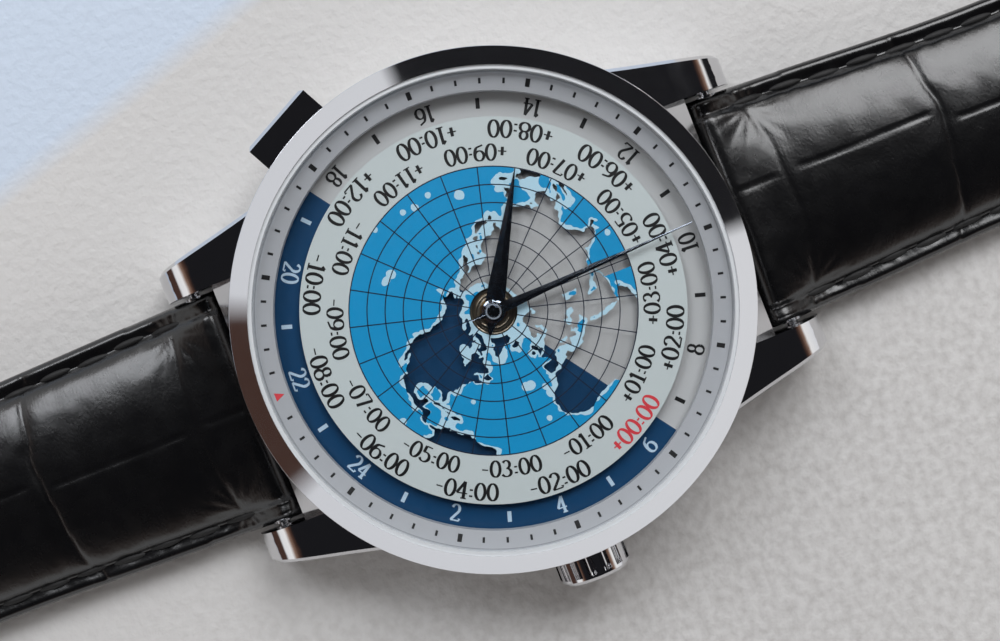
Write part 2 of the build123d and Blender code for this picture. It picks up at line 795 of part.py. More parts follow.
with BuildPart() as winding_pinion:
    with BuildSketch(crown_section(winding_pinion_at + part_gap)) as winding_outline:
        Circle(winding_pinion_radius)
        with PolarLocations(winding_pinion_radius, winding_pinion_teeth):
            Rectangle(winding_pinion_radius / 3, winding_pinion_radius / 4, mode=Mode.SUBTRACT)
        Circle(stem_radius + running, mode=Mode.SUBTRACT)
    extrude(winding_outline.sketch, amount=winding_pinion_length)
save(winding_pinion, "winding_pinion")

# Pusher with its shaft, spring and corrector lever
with BuildPart() as pusher:
    with BuildSketch(pusher_section(pusher_inner)) as cap_outline:
        Rectangle(pusher_width, pusher_height)
    extrude(cap_outline.sketch, amount=pusher_outer - pusher_inner)
    cap_front = pusher.faces().sort_by(lambda face: face.center().dot(Vector(*pusher_axis)))[-1]
    chamfer(cap_front.edges(), pusher_bevel)
    with BuildSketch(pusher_section(pusher_inner)) as spring_room:
        Circle(pusher_spring_bore)
    extrude(spring_room.sketch, amount=pusher_spring_depth, mode=Mode.SUBTRACT)
    with BuildSketch(pusher_section(pusher_shaft_end)) as shaft_outline:
        Circle(pusher_shaft_radius)
    extrude(shaft_outline.sketch, amount=pusher_inner + pusher_spring_depth - pusher_shaft_end)
save(pusher, "pusher")

spring_start = pusher_pocket_floor + pusher_spring_wire
spring_length = pusher_inner + pusher_spring_depth - pusher_spring_wire - spring_start
spring_centre = (pusher_axis[0] * spring_start, pusher_axis[1] * spring_start, pusher_level)
with BuildPart() as pusher_spring:
    with BuildLine() as coil:
        Helix(pitch=spring_length / pusher_spring_turns, height=spring_length, radius=pusher_spring_radius,
              center=spring_centre, direction=pusher_axis)
    with BuildSketch(Plane(origin=coil.edges()[0] @ 0, z_dir=coil.edges()[0] % 0)) as wire_section:
        Circle(pusher_spring_wire / 2)
    sweep(wire_section.sketch, path=coil.wires()[0])
save(pusher_spring, "pusher_spring")

lever_tip = pusher_shaft_end - lever_gap - lever_width / 2
lever_base = module_base + thin_gap
lever_pivot = (lever_pivot_in, lever_pivot_side)
with BuildPart() as corrector_lever:
    with BuildSketch(pusher_plane(lever_base)) as lever_outline:
        link((lever_tip, 0), lever_pivot, lever_width / 2)
        link(lever_pivot, (lever_pivot_in - lever_pivot_side, lever_pivot_side / 3), lever_width / 2)
    extrude(lever_outline.sketch, amount=lever_thickness)
    with BuildSketch(pusher_plane(lever_base)) as lever_bore:
        with Locations(lever_pivot):
            Circle(lever_pivot_radius - edge_break + running)
    extrude(lever_bore.sketch, amount=lever_thickness, mode=Mode.SUBTRACT)
save(corrector_lever, "corrector_lever")

# Main plate and the bridges that carry the wheels
jewel_places = [third_centre, fourth_centre, escape_centre]
pallet_direction = direction_to(escape_centre, balance_centre)
pallet_centre = step_along(escape_centre, pallet_reach, pallet_direction)
pallet_foot = step_along(pallet_centre, pallet_bridge_reach, pallet_direction - 90)
plate_jewel_places = jewel_places + [pallet_centre, balance_centre]
bridge_foot_circle = movement_radius - bridge_foot_inset
barrel_bridge_feet = [polar(bridge_foot_circle, angle) for angle in barrel_bridge_foot_angles]
train_bridge_feet = [polar(bridge_foot_circle, angle) for angle in train_bridge_foot_angles]
cock_foot = polar(bridge_foot_circle, cock_foot_angle)
bridge_radius = movement_radius - part_gap
stem_room = winding_pinion_radius + edge_break
with BuildPart() as main_plate:
    disc(origin, movement_radius, plate_base, plate_thickness)
    disc(motion_centre, post_radius, plate_top, hour_pinion_base - plate_top)
    disc(idler_centre, post_radius, plate_top, idler_pinion_base + wheel_thickness - plate_top)
    disc(origin, centre_hole_radius, plate_base, plate_thickness, Mode.SUBTRACT)
    disc(barrel_centre, pivot_radius + running, plate_base, jewel_thickness, Mode.SUBTRACT)
    for place in plate_jewel_places:
        disc(place, jewel_radius, plate_base, jewel_thickness, Mode.SUBTRACT)
    for place in barrel_bridge_feet + train_bridge_feet + [cock_foot]:
        disc(place, bridge_screw_radius, plate_base, plate_thickness / 2, Mode.SUBTRACT)
    with BuildSketch(crown_section(stem_end - edge_break)) as stem_slot:
        Rectangle(2 * stem_room, 2 * stem_room)
    extrude(stem_slot.sketch, amount=movement_radius, mode=Mode.SUBTRACT)
save(main_plate, "main_plate")


def bridge_plate(low_y, high_y, feet):
    """Add a bridge between two lines across the movement, on its feet."""
    with BuildSketch(Plane.XY.offset(bridge_base)) as outline:
        Circle(bridge_radius)
        with Locations((0, (low_y + high_y) / 2)):
            Rectangle(2 * movement_radius, high_y - low_y, mode=Mode.INTERSECT)
    extrude(outline.sketch, amount=bridge_thickness)
    for place in feet:
        disc(place, bridge_foot_radius, bridge_top, train_height)
        disc(place, bridge_screw_radius, bridge_base, plate_base - bridge_base, Mode.SUBTRACT)
        disc(place, bridge_screw_head_radius, bridge_base, bridge_screw_sink, Mode.SUBTRACT)


with BuildPart() as barrel_bridge:
    bridge_plate(bridge_split_y + bridge_split_width / 2, movement_radius, barrel_bridge_feet)
    disc(barrel_centre, barrel_arbor_radius + running, bridge_base, bridge_thickness, Mode.SUBTRACT)
    disc(crown_wheel_centre, post_radius, bridge_base - bridge_gap - ratchet_thickness,
         bridge_gap + ratchet_thickness)
save(barrel_bridge, "barrel_bridge")

with BuildPart() as train_bridge:
    bridge_plate(-movement_radius, bridge_split_y - bridge_split_width / 2, train_bridge_feet)
    corner_x = balance_centre[0] - balance_radius - part_gap
    corner_y = cock_foot[1] + bridge_foot_radius + part_gap
    with BuildSketch(Plane.XY.offset(bridge_base)) as balance_corner:
        with Locations((corner_x + movement_radius / 2, corner_y - movement_radius / 2)):
            Rectangle(movement_radius, movement_radius)
    extrude(balance_corner.sketch, amount=bridge_thickness, mode=Mode.SUBTRACT)
    for place in jewel_places:
        disc(place, jewel_radius, bridge_base, bridge_thickness, Mode.SUBTRACT)
    disc(origin, centre_hole_radius, bridge_base, bridge_thickness, Mode.SUBTRACT)
save(train_bridge, "train_bridge")

with BuildPart() as balance_cock:
    with BuildSketch(Plane.XY.offset(bridge_base)) as cock_outline:
        link(balance_centre, cock_foot, cock_half_width / 2)
    extrude(cock_outline.sketch, amount=cock_thickness)
    disc(balance_centre, cock_half_width, bridge_base, cock_thickness)
    disc(cock_foot, bridge_foot_radius, bridge_base, plate_base - bridge_base)
    disc(balance_centre, jewel_radius, bridge_base, cock_thickness, Mode.SUBTRACT)
    disc(cock_foot, bridge_screw_radius, bridge_base, plate_base - bridge_base, Mode.SUBTRACT)
    disc(cock_foot, bridge_screw_head_radius, bridge_base, bridge_screw_sink, Mode.SUBTRACT)
save(balance_cock, "balance_cock")

with BuildPart() as pallet_bridge:
    with BuildSketch(Plane.XY.offset(pallet_bridge_base)) as pallet_bridge_outline:
        link(pallet_centre, pallet_foot, pallet_bridge_half_width)
    extrude(pallet_bridge_outline.sketch, amount=pallet_bridge_thickness)
    disc(pallet_foot, pallet_bridge_foot_radius, pallet_bridge_base, plate_base - pallet_bridge_base)
    disc(pallet_centre, pivot_radius + running, pallet_bridge_base, pallet_bridge_thickness, Mode.SUBTRACT)
save(pallet_bridge, "pallet_bridge")

with BuildPart() as bridge_screws:
    for place in barrel_bridge_feet + train_bridge_feet + [cock_foot]:
        disc(place, bridge_screw_radius, bridge_base + edge_break, plate_base + plate_thickness / 2
             - bridge_base - edge_break)
        disc(place, bridge_screw_head_radius, bridge_base + edge_break / 2, bridge_screw_sink - edge_break / 2)
        with BuildSketch(Plane.XY.offset(bridge_base + edge_break / 2)) as slot:
            with Locations(place):
                Rectangle(screw_slot_width, 2 * bridge_screw_head_radius)
        extrude(slot.sketch, amount=screw_slot_depth, mode=Mode.SUBTRACT)
save(bridge_screws, "bridge_screws")

with BuildPart() as jewels:
    for place in jewel_places:
        ring(pivot_radius + running, jewel_radius, bridge_top - jewel_thickness, jewel_thickness, centre=place)
    ring(centre_arbor_radius + running, centre_hole_radius, bridge_top - jewel_thickness, jewel_thickness)
    ring(pivot_radius + running, jewel_radius, cock_top - jewel_thickness, jewel_thickness,
         centre=balance_centre)
    for place in plate_jewel_places:
        ring(pivot_radius + running, jewel_radius, plate_base, jewel_thickness, centre=place)
save(jewels, "jewels")

# Going train
wheel_low = bridge_top - jewel_thickness
wheel_high = plate_base + jewel_thickness


def crossings(centre, hub, rim, count, base):
    """Cut round windows that leave the spokes of a wheel."""
    window = (rim - hub) / 2
    with BuildSketch(Plane.XY.offset(base)) as windows:
        with Locations(centre):
            with PolarLocations(hub + window, count):
                Circle(window)
    extrude(windows.sketch, amount=wheel_thickness, mode=Mode.SUBTRACT)


def root_radius(teeth, module):
    """Give the radius at the foot of a wheel's teeth."""
    return module * (teeth / 2 - dedendum_share)


with BuildPart() as barrel:
    toothed(barrel_centre, barrel_teeth, going_module, barrel_phase, barrel_teeth_base, wheel_thickness)
    drum_radius = root_radius(barrel_teeth, going_module) - barrel_floor
    disc(barrel_centre, drum_radius, barrel_base, barrel_height)
    disc(barrel_centre, drum_radius - barrel_wall, barrel_base + barrel_floor,
         barrel_height - 2 * barrel_floor, Mode.SUBTRACT)
    disc(barrel_centre, barrel_arbor_radius + running, barrel_base, barrel_height, Mode.SUBTRACT)
save(barrel, "barrel")

with BuildPart() as mainspring:
    flat_spiral(barrel_centre, mainspring_inner, mainspring_pitch, mainspring_turns, mainspring_strip,
                barrel_base + (barrel_height - mainspring_height) / 2, mainspring_height)
save(mainspring, "mainspring")

with BuildPart() as ratchet_wheel:
    toothed(barrel_centre, ratchet_teeth, ratchet_module, centre_phase, ratchet_base, ratchet_thickness)
    disc(barrel_centre, barrel_arbor_radius, ratchet_base, barrel_top - ratchet_base)
    disc(barrel_centre, pivot_radius, barrel_top, plate_base + jewel_thickness - barrel_top)
save(ratchet_wheel, "ratchet_wheel")

with BuildPart() as crown_wheel:
    toothed(crown_wheel_centre, crown_wheel_teeth, ratchet_module, crown_wheel_phase, ratchet_base,
            ratchet_thickness)
    disc(crown_wheel_centre, post_radius + running, ratchet_base, ratchet_thickness, Mode.SUBTRACT)
save(crown_wheel, "crown_wheel")

centre_pinion_base = barrel_teeth_base - pinion_overlap
with BuildPart() as centre_wheel:
    toothed(origin, centre_teeth, going_module, centre_phase, centre_wheel_base, wheel_thickness)
    crossings(origin, centre_hub_radius, root_radius(centre_teeth, going_module) - barrel_wall,
              spoke_count, centre_wheel_base)
    toothed(origin, centre_pinion_teeth, going_module, centre_phase, centre_pinion_base,
            plate_base - thin_gap / 2 - centre_pinion_base)
    disc(origin, centre_arbor_radius, wheel_low, minute_base - wheel_low)
save(centre_wheel, "centre_wheel")


def train_wheel(centre, teeth, module, phase, base, pinion_teeth, pinion_module, mate_base):
    """Add a wheel with crossings, its pinion at the level of the wheel that drives it, and its arbor."""
    toothed(centre, teeth, module, phase, base, wheel_thickness)
    crossings(centre, train_hub_radius, root_radius(teeth, module) - barrel_wall, spoke_count, base)
    toothed(centre, pinion_teeth, pinion_module, phase, mate_base - pinion_overlap,
            wheel_thickness + 2 * pinion_overlap)
    arbor(centre, wheel_low, wheel_high)


with BuildPart() as third_wheel:
    train_wheel(third_centre, third_teeth, third_module, third_phase, third_wheel_base,
                third_pinion_teeth, going_module, centre_wheel_base)
save(third_wheel, "third_wheel")

with BuildPart() as fourth_wheel:
    train_wheel(fourth_centre, fourth_teeth, escape_module, fourth_phase, fourth_wheel_base,
                fourth_pinion_teeth, third_module, third_wheel_base)
save(fourth_wheel, "fourth_wheel")

with BuildPart() as escape_wheel:
    with BuildSketch(Plane.XY.offset(escape_wheel_base)) as escape_outline:
        with BuildLine():
            escape_points = []
            for tooth in range(escape_wheel_teeth):
                tooth_angle = escape_phase + tooth * 360 / escape_wheel_teeth
                root = escape_wheel_radius - escape_tooth_depth
                escape_points.append(step_along(escape_centre, escape_wheel_radius, tooth_angle))
                escape_points.append(step_along(escape_centre, root, tooth_angle + 90 / escape_wheel_teeth))
                escape_points.append(step_along(escape_centre, root, tooth_angle + 270 / escape_wheel_teeth))
            Polyline(*escape_points, close=True)
        make_face()
    extrude(escape_outline.sketch, amount=wheel_thickness)
    toothed(escape_centre, escape_pinion_teeth, escape_module, escape_phase,
            fourth_wheel_base - pinion_overlap, wheel_thickness + 2 * pinion_overlap)
    arbor(escape_centre, wheel_low, wheel_high)
save(escape_wheel, "escape_wheel")

pallet_low = pallet_bridge_base + thin_gap / 2
with BuildPart() as pallet_fork:
    with BuildSketch(Plane(origin=(pallet_centre[0], pallet_centre[1], escape_wheel_base),
                           x_dir=(cos(radians(pallet_direction)), sin(radians(pallet_direction)), 0),
                           z_dir=(0, 0, 1))) as fork_outline:
        for side in (-1, 1):
            link((-pallet_arm_back, side * pallet_half_span), (0, side * pallet_half_span / 2),
                 pallet_bar_width / 2)
        link((0, -pallet_half_span / 2), (0, pallet_half_span / 2), pallet_bar_width / 2)
        with Locations((pallet_fork_reach / 2, 0)):
            Rectangle(pallet_fork_reach, pallet_bar_width / 2)
        with Locations((pallet_fork_reach, 0)):
            Rectangle(pallet_bar_width, pallet_bar_width * 2)
        with Locations((pallet_fork_reach + pallet_bar_width / 4, 0)):
            Rectangle(pallet_bar_width / 2, pallet_bar_width / 2, mode=Mode.SUBTRACT)
    extrude(fork_outline.sketch, amount=pallet_thickness)
    disc(pallet_centre, pivot_radius, pallet_low, wheel_high - pallet_low)
save(pallet_fork, "pallet_fork")

with BuildPart() as balance_wheel:
    ring(balance_radius - balance_rim_width, balance_radius, balance_rim_base, balance_rim_height,
         centre=balance_centre)
    with BuildSketch(Plane.XY.offset(balance_rim_base + balance_rim_height / 3)) as spokes:
        with Locations(balance_centre):
            with PolarLocations((balance_radius - balance_rim_width) / 2 + edge_break / 2, balance_spokes):
                Rectangle(balance_radius - balance_rim_width + edge_break, balance_spoke_width)
    extrude(spokes.sketch, amount=balance_rim_height / 3)
    disc(balance_centre, hairspring_inner - edge_break / 2, hairspring_base,
         balance_rim_base + balance_rim_height - hairspring_base)
    disc(balance_centre, arbor_radius, hairspring_base, plate_base - thin_gap / 2 - hairspring_base)
    disc(balance_centre, pivot_radius, cock_top - jewel_thickness, wheel_high - cock_top + jewel_thickness)
    disc(balance_centre, roller_radius, escape_wheel_base, roller_thickness)
save(balance_wheel, "balance_wheel")

with BuildPart() as hairspring:
    flat_spiral(balance_centre, hairspring_inner, hairspring_pitch, hairspring_turns, hairspring_strip,
                hairspring_base, hairspring_height)
save(hairspring, "hairspring")

# Winding rotor on its bearing
with BuildPart() as rotor:
    with BuildSketch(Plane.XY.offset(rotor_base)) as rotor_rim:
        Circle(rotor_radius)
        Circle(rotor_radius - rotor_rim_width, mode=Mode.SUBTRACT)
        with Locations((0, rotor_radius)):
            Rectangle(3 * rotor_radius, 2 * rotor_radius, mode=Mode.SUBTRACT)
    extrude(rotor_rim.sketch, amount=rotor_thickness)
    with BuildSketch(Plane.XY.offset(rotor_base)) as rotor_web_outline:
        Circle(rotor_radius - rotor_rim_width / 2)
        with Locations((0, rotor_radius)):
            Rectangle(3 * rotor_radius, 2 * rotor_radius, mode=Mode.SUBTRACT)
        with Locations(*[polar(rotor_radius / 2, angle) for angle in rotor_window_angles]):
            Circle(rotor_window_radius, mode=Mode.SUBTRACT)
    extrude(rotor_web_outline.sketch, amount=rotor_web)
    disc(origin, rotor_hub_radius, rotor_base, rotor_thickness)
    disc(origin, rotor_bore, rotor_base, rotor_thickness, Mode.SUBTRACT)
save(rotor, "rotor")

with BuildPart() as rotor_bearing:
    disc(origin, rotor_bore - running, rotor_base, bridge_base - rotor_base)
    disc(origin, bearing_head_radius, rotor_base - bearing_head_height - edge_break / 3, bearing_head_height)
    disc(origin, rotor_bore / 2, rotor_base - bearing_head_height, bearing_head_height)
    with BuildSketch(Plane.XY.offset(rotor_base - bearing_head_height - edge_break / 3)) as bearing_slot:
        Rectangle(screw_slot_width, 2 * bearing_head_radius)
    extrude(bearing_slot.sketch, amount=bearing_head_height / 2, mode=Mode.SUBTRACT)
save(rotor_bearing, "rotor_bearing")

# Ring between the movement and the case, held down by the case back
casing_ring_radius = movement_bore_radius - casing_ring_gap
with BuildPart() as casing_ring:
    ring(movement_radius, casing_ring_radius, casing_ring_base, casing_ring_height)
    with BuildSketch(crown_section(movement_radius - overrun)) as ring_bore:
        Circle(stem_radius + part_gap)
    extrude(ring_bore.sketch, amount=casing_ring_radius, mode=Mode.SUBTRACT)
save(casing_ring, "casing_ring")

# World time module: plate, motion work, discs and hands
module_radius = movement_bore_radius - thin_gap
with BuildPart() as module_plate:
    ring(module_hole_radius, module_radius, module_base, module_thickness)
    with BuildSketch(pusher_plane(module_base)) as lever_pocket:
        with Locations((lever_pivot_in, lever_pivot_side / 2)):
            Rectangle(lever_pocket_length, lever_pocket_width)
        with Locations(lever_pivot):
            Circle(lever_pivot_radius - edge_break, mode=Mode.SUBTRACT)
    extrude(lever_pocket.sketch, amount=lever_pocket_depth, mode=Mode.SUBTRACT)
    with BuildSketch(pusher_section(lever_pivot_in)) as shaft_room:
        Circle(pusher_shaft_radius + thin_gap)
    extrude(shaft_room.sketch, amount=module_radius, mode=Mode.SUBTRACT)
save(module_plate, "module_plate")

with BuildPart() as minute_wheel:
    toothed(motion_centre, minute_wheel_teeth, motion_module, minute_wheel_phase, motion_base, wheel_thickness)
    toothed(motion_centre, minute_pinion_teeth, hour_module, minute_wheel_phase, motion_base + wheel_thickness,
            hour_wheel_base - motion_base)
    disc(motion_centre, post_radius + running, motion_base, hour_wheel_base + wheel_thickness - motion_base,
         Mode.SUBTRACT)
save(minute_wheel, "minute_wheel")

with BuildPart() as cannon_pinion:
    toothed(origin, cannon_teeth, motion_module, centre_phase, motion_base, wheel_thickness)
    disc(origin, cannon_radius, motion_base, minute_top - motion_base)
    disc(origin, centre_arbor_radius + running, motion_base, minute_top - motion_base, Mode.SUBTRACT)
save(cannon_pinion, "cannon_pinion")

with BuildPart() as hour_wheel:
    toothed(origin, hour_wheel_teeth, hour_module, hour_phase, hour_wheel_base, wheel_thickness)
    toothed(origin, hour_pinion_teeth, idler_module, hour_phase, hour_pinion_base, wheel_thickness)
    disc(origin, hour_tube_radius, hour_wheel_base, hour_top - hour_wheel_base)
    disc(origin, cannon_radius + running, hour_wheel_base, hour_top - hour_wheel_base, Mode.SUBTRACT)
save(hour_wheel, "hour_wheel")

idler_base = hour_pinion_base + thin_gap / 2
with BuildPart() as day_idler:
    toothed(idler_centre, idler_teeth, idler_module, idler_phase, idler_base, wheel_thickness - thin_gap / 2)
    toothed(idler_centre, idler_pinion_teeth, day_module, idler_phase, hour_pinion_base + wheel_thickness,
            idler_pinion_base - hour_pinion_base)
    disc(idler_centre, post_radius + running, idler_base, idler_pinion_base + wheel_thickness - idler_base,
         Mode.SUBTRACT)
save(day_idler, "day_idler")

with BuildPart() as day_night_disc:
    toothed(origin, day_wheel_teeth, day_module, day_phase, idler_pinion_base, wheel_thickness)
    disc(origin, day_night_hub_radius, idler_pinion_base, day_night_base - idler_pinion_base)
    disc(origin, day_night_radius, day_night_base, day_night_thickness)
    disc(origin, day_night_bore, idler_pinion_base, day_night_top - idler_pinion_base, Mode.SUBTRACT)
save(day_night_disc, "day_night_disc")

with BuildPart() as map_hub:
    ring(map_tube_bore, map_tube_radius, map_base - map_tube_drop, map_tube_drop + map_thickness)
    ring(map_tube_bore, map_hub_flange_radius, map_base - map_hub_flange_height, map_hub_flange_height)
save(map_hub, "map_hub")

with BuildPart() as map_disc:
    ring(map_hole_radius, map_radius, map_base, map_thickness)
save(map_disc, "map_disc")


def hand_blade(angle, level, lengths, widths, tail, hub, bore):
    """Add a flat hand with a pointed tail and a round hub, bored for its tube."""
    heading = clock(angle)
    place = Plane(origin=(0, 0, level), x_dir=(*polar(1, heading), 0), z_dir=(0, 0, 1))
    upper = list(zip(lengths, widths))
    lower = [(reach, -width) for reach, width in reversed(upper)]
    with BuildSketch(place) as outline:
        with BuildLine():
            Polyline((-tail, 0), *upper, *lower, close=True)
        make_face()
        Circle(hub)
        Circle(bore, mode=Mode.SUBTRACT)
    extrude(outline.sketch, amount=hand_thickness)


with BuildPart() as hour_hand:
    hour_lengths = [share * hour_hand_length for share in hour_length_shares]
    hour_widths = [share * hour_hand_half_width for share in hour_width_shares]
    hand_blade(hour_hand_angle, hour_base, hour_lengths, hour_widths, hour_hand_tail, hour_hub_radius,
               hour_tube_radius)
save(hour_hand, "hour_hand")

with BuildPart() as minute_hand:
    minute_lengths = [share * minute_hand_length for share in minute_length_shares]
    minute_widths = [share * minute_hand_half_width for share in minute_width_shares]
    hand_blade(minute_hand_angle, minute_base, minute_lengths, minute_widths, minute_hand_tail,
               minute_hub_radius, cannon_radius)
    disc(origin, minute_cap_radius, minute_top, minute_cap_height)
save(minute_hand, "minute_hand")

# Spring bars between the lugs
bar_half = lug_gap / 2 - edge_break
pin_half = lug_gap / 2 + spring_bar_pin_depth
with BuildPart() as spring_bars:
    for end in (-1, 1):
        for half, radius in ((bar_half, spring_bar_radius), (pin_half, spring_bar_pin_radius)):
            with BuildSketch(Plane.YZ) as bar_outline:
                with Locations((end * spring_bar_y, spring_bar_level)):
                    Circle(radius)
            extrude(bar_outline.sketch, amount=half, both=True)
save(spring_bars, "spring_bars")

# Strap halves, drawn from the spring bar outwards. The side view gives distance from the bar and height
buckle_y = spring_bar_y + upper_strap_length
strap_tip_y = spring_bar_y + lower_strap_length
strap_lift = keeper_wall + keeper_slip + keeper_slip / 4
buckle_level = strap_lift + buckle_end_radius
pad_top = strap_thickness + strap_pad_height


def side_block(points, mode=Mode.ADD):
    """Add or cut a block across the strap from points given as distance along +Y and height."""
    with BuildSketch(Plane.YZ) as outline:
        with BuildLine():
            Polyline(*points, close=True)
        make_face()
    extrude(outline.sketch, amount=strap_end_width, both=True, mode=mode)


def bar_eye(y, level, radius, width, mode=Mode.ADD):
    """Add or cut a round along X about a bar."""
    with BuildSketch(Plane.YZ) as outline:
        with Locations((y, level)):
            Circle(radius)
    extrude(outline.sketch, amount=width / 2, both=True, mode=mode)


def trim_plan(points, low, high):
    """Keep what lies inside a plan outline that is mirrored about the strap's centre line."""
    left = [(-x, y) for x, y in reversed(points)]
    with BuildSketch(Plane.XY.offset(low)) as outline:
        with BuildLine():
            Polyline(*points, *left, close=True)
        make_face()
    extrude(outline.sketch, amount=high - low, mode=Mode.INTERSECT)


def pad_form(plan_points, start, end):
    """Make the crowned padding of a strap half, to be added to its leather."""
    with BuildPart() as pad:
        with BuildSketch(Plane.XZ) as crown_outline:
            with BuildLine():
                half = strap_end_width / 2 - strap_pad_inset
                Line((half, strap_lining), (-half, strap_lining))
                Line((-half, strap_lining), (-half, strap_thickness))
                ThreePointArc((-half, strap_thickness), (0, pad_top), (half, strap_thickness))
                Line((half, strap_thickness), (half, strap_lining))
            make_face()
        extrude(crown_outline.sketch, amount=-end)
        side_block([(start, strap_lining), (start, strap_thickness), (start + strap_pad_ramp, pad_top),
                    (end - 2 * strap_pad_ramp, pad_top), (end, strap_thickness), (end, strap_lining)],
                   Mode.INTERSECT)
        inset = [(x - strap_pad_inset, y) for x, y in plan_points]
        trim_plan(inset, 0, 2 * pad_top)
    return pad.part


end_half = strap_end_width / 2
upper_half = upper_strap_width / 2
upper_plan = [(end_half, spring_bar_y - 2 * strap_end_radius), (end_half, spring_bar_y),
              (upper_half, upper_taper_end), (upper_half, buckle_y + 2 * buckle_end_radius)]
lower_plan = [(end_half, spring_bar_y - 2 * strap_end_radius), (end_half, spring_bar_y),
              (lower_strap_width / 2, lower_taper_mid), (lower_tip_width / 2, strap_tip_y - tip_run),
              (tip_half_width, strap_tip_y)]
neck_top = spring_bar_level + strap_end_radius
neck_foot = spring_bar_level - strap_end_radius
lifted_top = strap_lift + strap_thickness
upper_pad = pad_form(upper_plan, strap_pad_start, strap_pad_end)
lower_pad = pad_form(lower_plan, strap_pad_start, strap_pad_end)
with BuildPart() as upper_strap:
    side_block([(spring_bar_y, neck_foot), (spring_bar_y, neck_top), (strap_flat_from, strap_thickness),
                (lift_from, strap_thickness), (lift_to, lifted_top), (buckle_y, lifted_top),
                (buckle_y, strap_lift), (lift_to, strap_lift), (lift_from, 0), (strap_flat_from, 0)])
    bar_eye(spring_bar_y, spring_bar_level, strap_end_radius, 2 * strap_end_width)
    bar_eye(buckle_y, buckle_level, buckle_end_radius, 2 * strap_end_width)
    trim_plan(upper_plan, 0, 2 * pad_top)
    add(upper_pad)
    bar_eye(spring_bar_y, spring_bar_level, spring_bar_radius + 2 * running, 2 * strap_end_width, Mode.SUBTRACT)
    bar_eye(buckle_y, buckle_level, buckle_bar_radius + 2 * running, 2 * strap_end_width, Mode.SUBTRACT)
    side_block([(strap_flat_from, 0), (strap_flat_from, strap_lining), (lift_from, strap_lining),
                (lift_to, strap_lift + strap_lining), (buckle_y - tongue_slot_depth, strap_lift + strap_lining),
                (buckle_y - tongue_slot_depth, strap_lift), (lift_to, strap_lift), (lift_from, 0)],
               Mode.SUBTRACT)
    with BuildSketch(Plane.XY) as tongue_slot:
        with Locations((0, buckle_y)):
            Rectangle(tongue_slot_width, 2 * tongue_slot_depth)
    extrude(tongue_slot.sketch, amount=2 * lifted_top, mode=Mode.SUBTRACT)
save(upper_strap, "upper_strap")

with BuildPart() as upper_strap_lining:
    side_block([(strap_flat_from, 0), (strap_flat_from, strap_lining), (lift_from, strap_lining),
                (lift_to, strap_lift + strap_lining), (buckle_y - tongue_slot_depth, strap_lift + strap_lining),
                (buckle_y - tongue_slot_depth, strap_lift), (lift_to, strap_lift), (lift_from, 0)])
    trim_plan(upper_plan, 0, 2 * pad_top)
save(upper_strap_lining, "upper_strap_lining")

hole_places = [(0, strap_tip_y - first_hole_from_tip - hole_pitch * hole) for hole in range(hole_count)]


def strap_holes():
    """Cut the buckle holes down the strap's centre line."""
    with BuildSketch(Plane.XY) as holes:
        with Locations(*hole_places):
            Circle(hole_radius)
    extrude(holes.sketch, amount=2 * pad_top, mode=Mode.SUBTRACT)


with BuildPart() as lower_strap_blank:
    side_block([(spring_bar_y, neck_foot), (spring_bar_y, neck_top), (strap_flat_from, strap_thickness),
                (strap_tip_y, strap_thickness), (strap_tip_y, strap_lining),
                (strap_flat_from, strap_lining), (strap_flat_from, 0)])
    bar_eye(spring_bar_y, spring_bar_level, strap_end_radius, 2 * strap_end_width)
    trim_plan(lower_plan, 0, 2 * pad_top)
    add(lower_pad)
    bar_eye(spring_bar_y, spring_bar_level, spring_bar_radius + 2 * running, 2 * strap_end_width, Mode.SUBTRACT)
    strap_holes()
with BuildPart() as lower_strap:
    add(lower_strap_blank.part.mirror(Plane.XZ))
save(lower_strap, "lower_strap")

with BuildPart() as lower_lining_blank:
    side_block([(strap_flat_from, 0), (strap_flat_from, strap_lining), (strap_tip_y, strap_lining),
                (strap_tip_y, 0)])
    trim_plan(lower_plan, 0, 2 * pad_top)
    strap_holes()
with BuildPart() as lower_strap_lining:
    add(lower_lining_blank.part.mirror(Plane.XZ))
save(lower_strap_lining, "lower_strap_lining")


def keeper(centre_y):
    """Add a leather loop round the buckle half of the strap, with room for the other half."""
    low = strap_lift - keeper_slip
    high = lifted_top + keeper_room
    half = upper_half + keeper_side_gap
    side_plane = Plane(origin=(0, centre_y - keeper_width / 2, 0), x_dir=(-1, 0, 0), z_dir=(0, 1, 0))
    with BuildSketch(side_plane) as loop:
        with Locations((0, (low + high) / 2)):
            RectangleRounded(2 * half + 2 * keeper_wall, high - low + 2 * keeper_wall, keeper_wall)
            Rectangle(2 * half, high - low, mode=Mode.SUBTRACT)
    extrude(loop.sketch, amount=keeper_width)


with BuildPart() as fixed_keeper:
    keeper(buckle_y - fixed_keeper_back)
save(fixed_keeper, "fixed_keeper")

with BuildPart() as free_keeper:
    keeper(buckle_y - free_keeper_back)
save(free_keeper, "free_keeper")

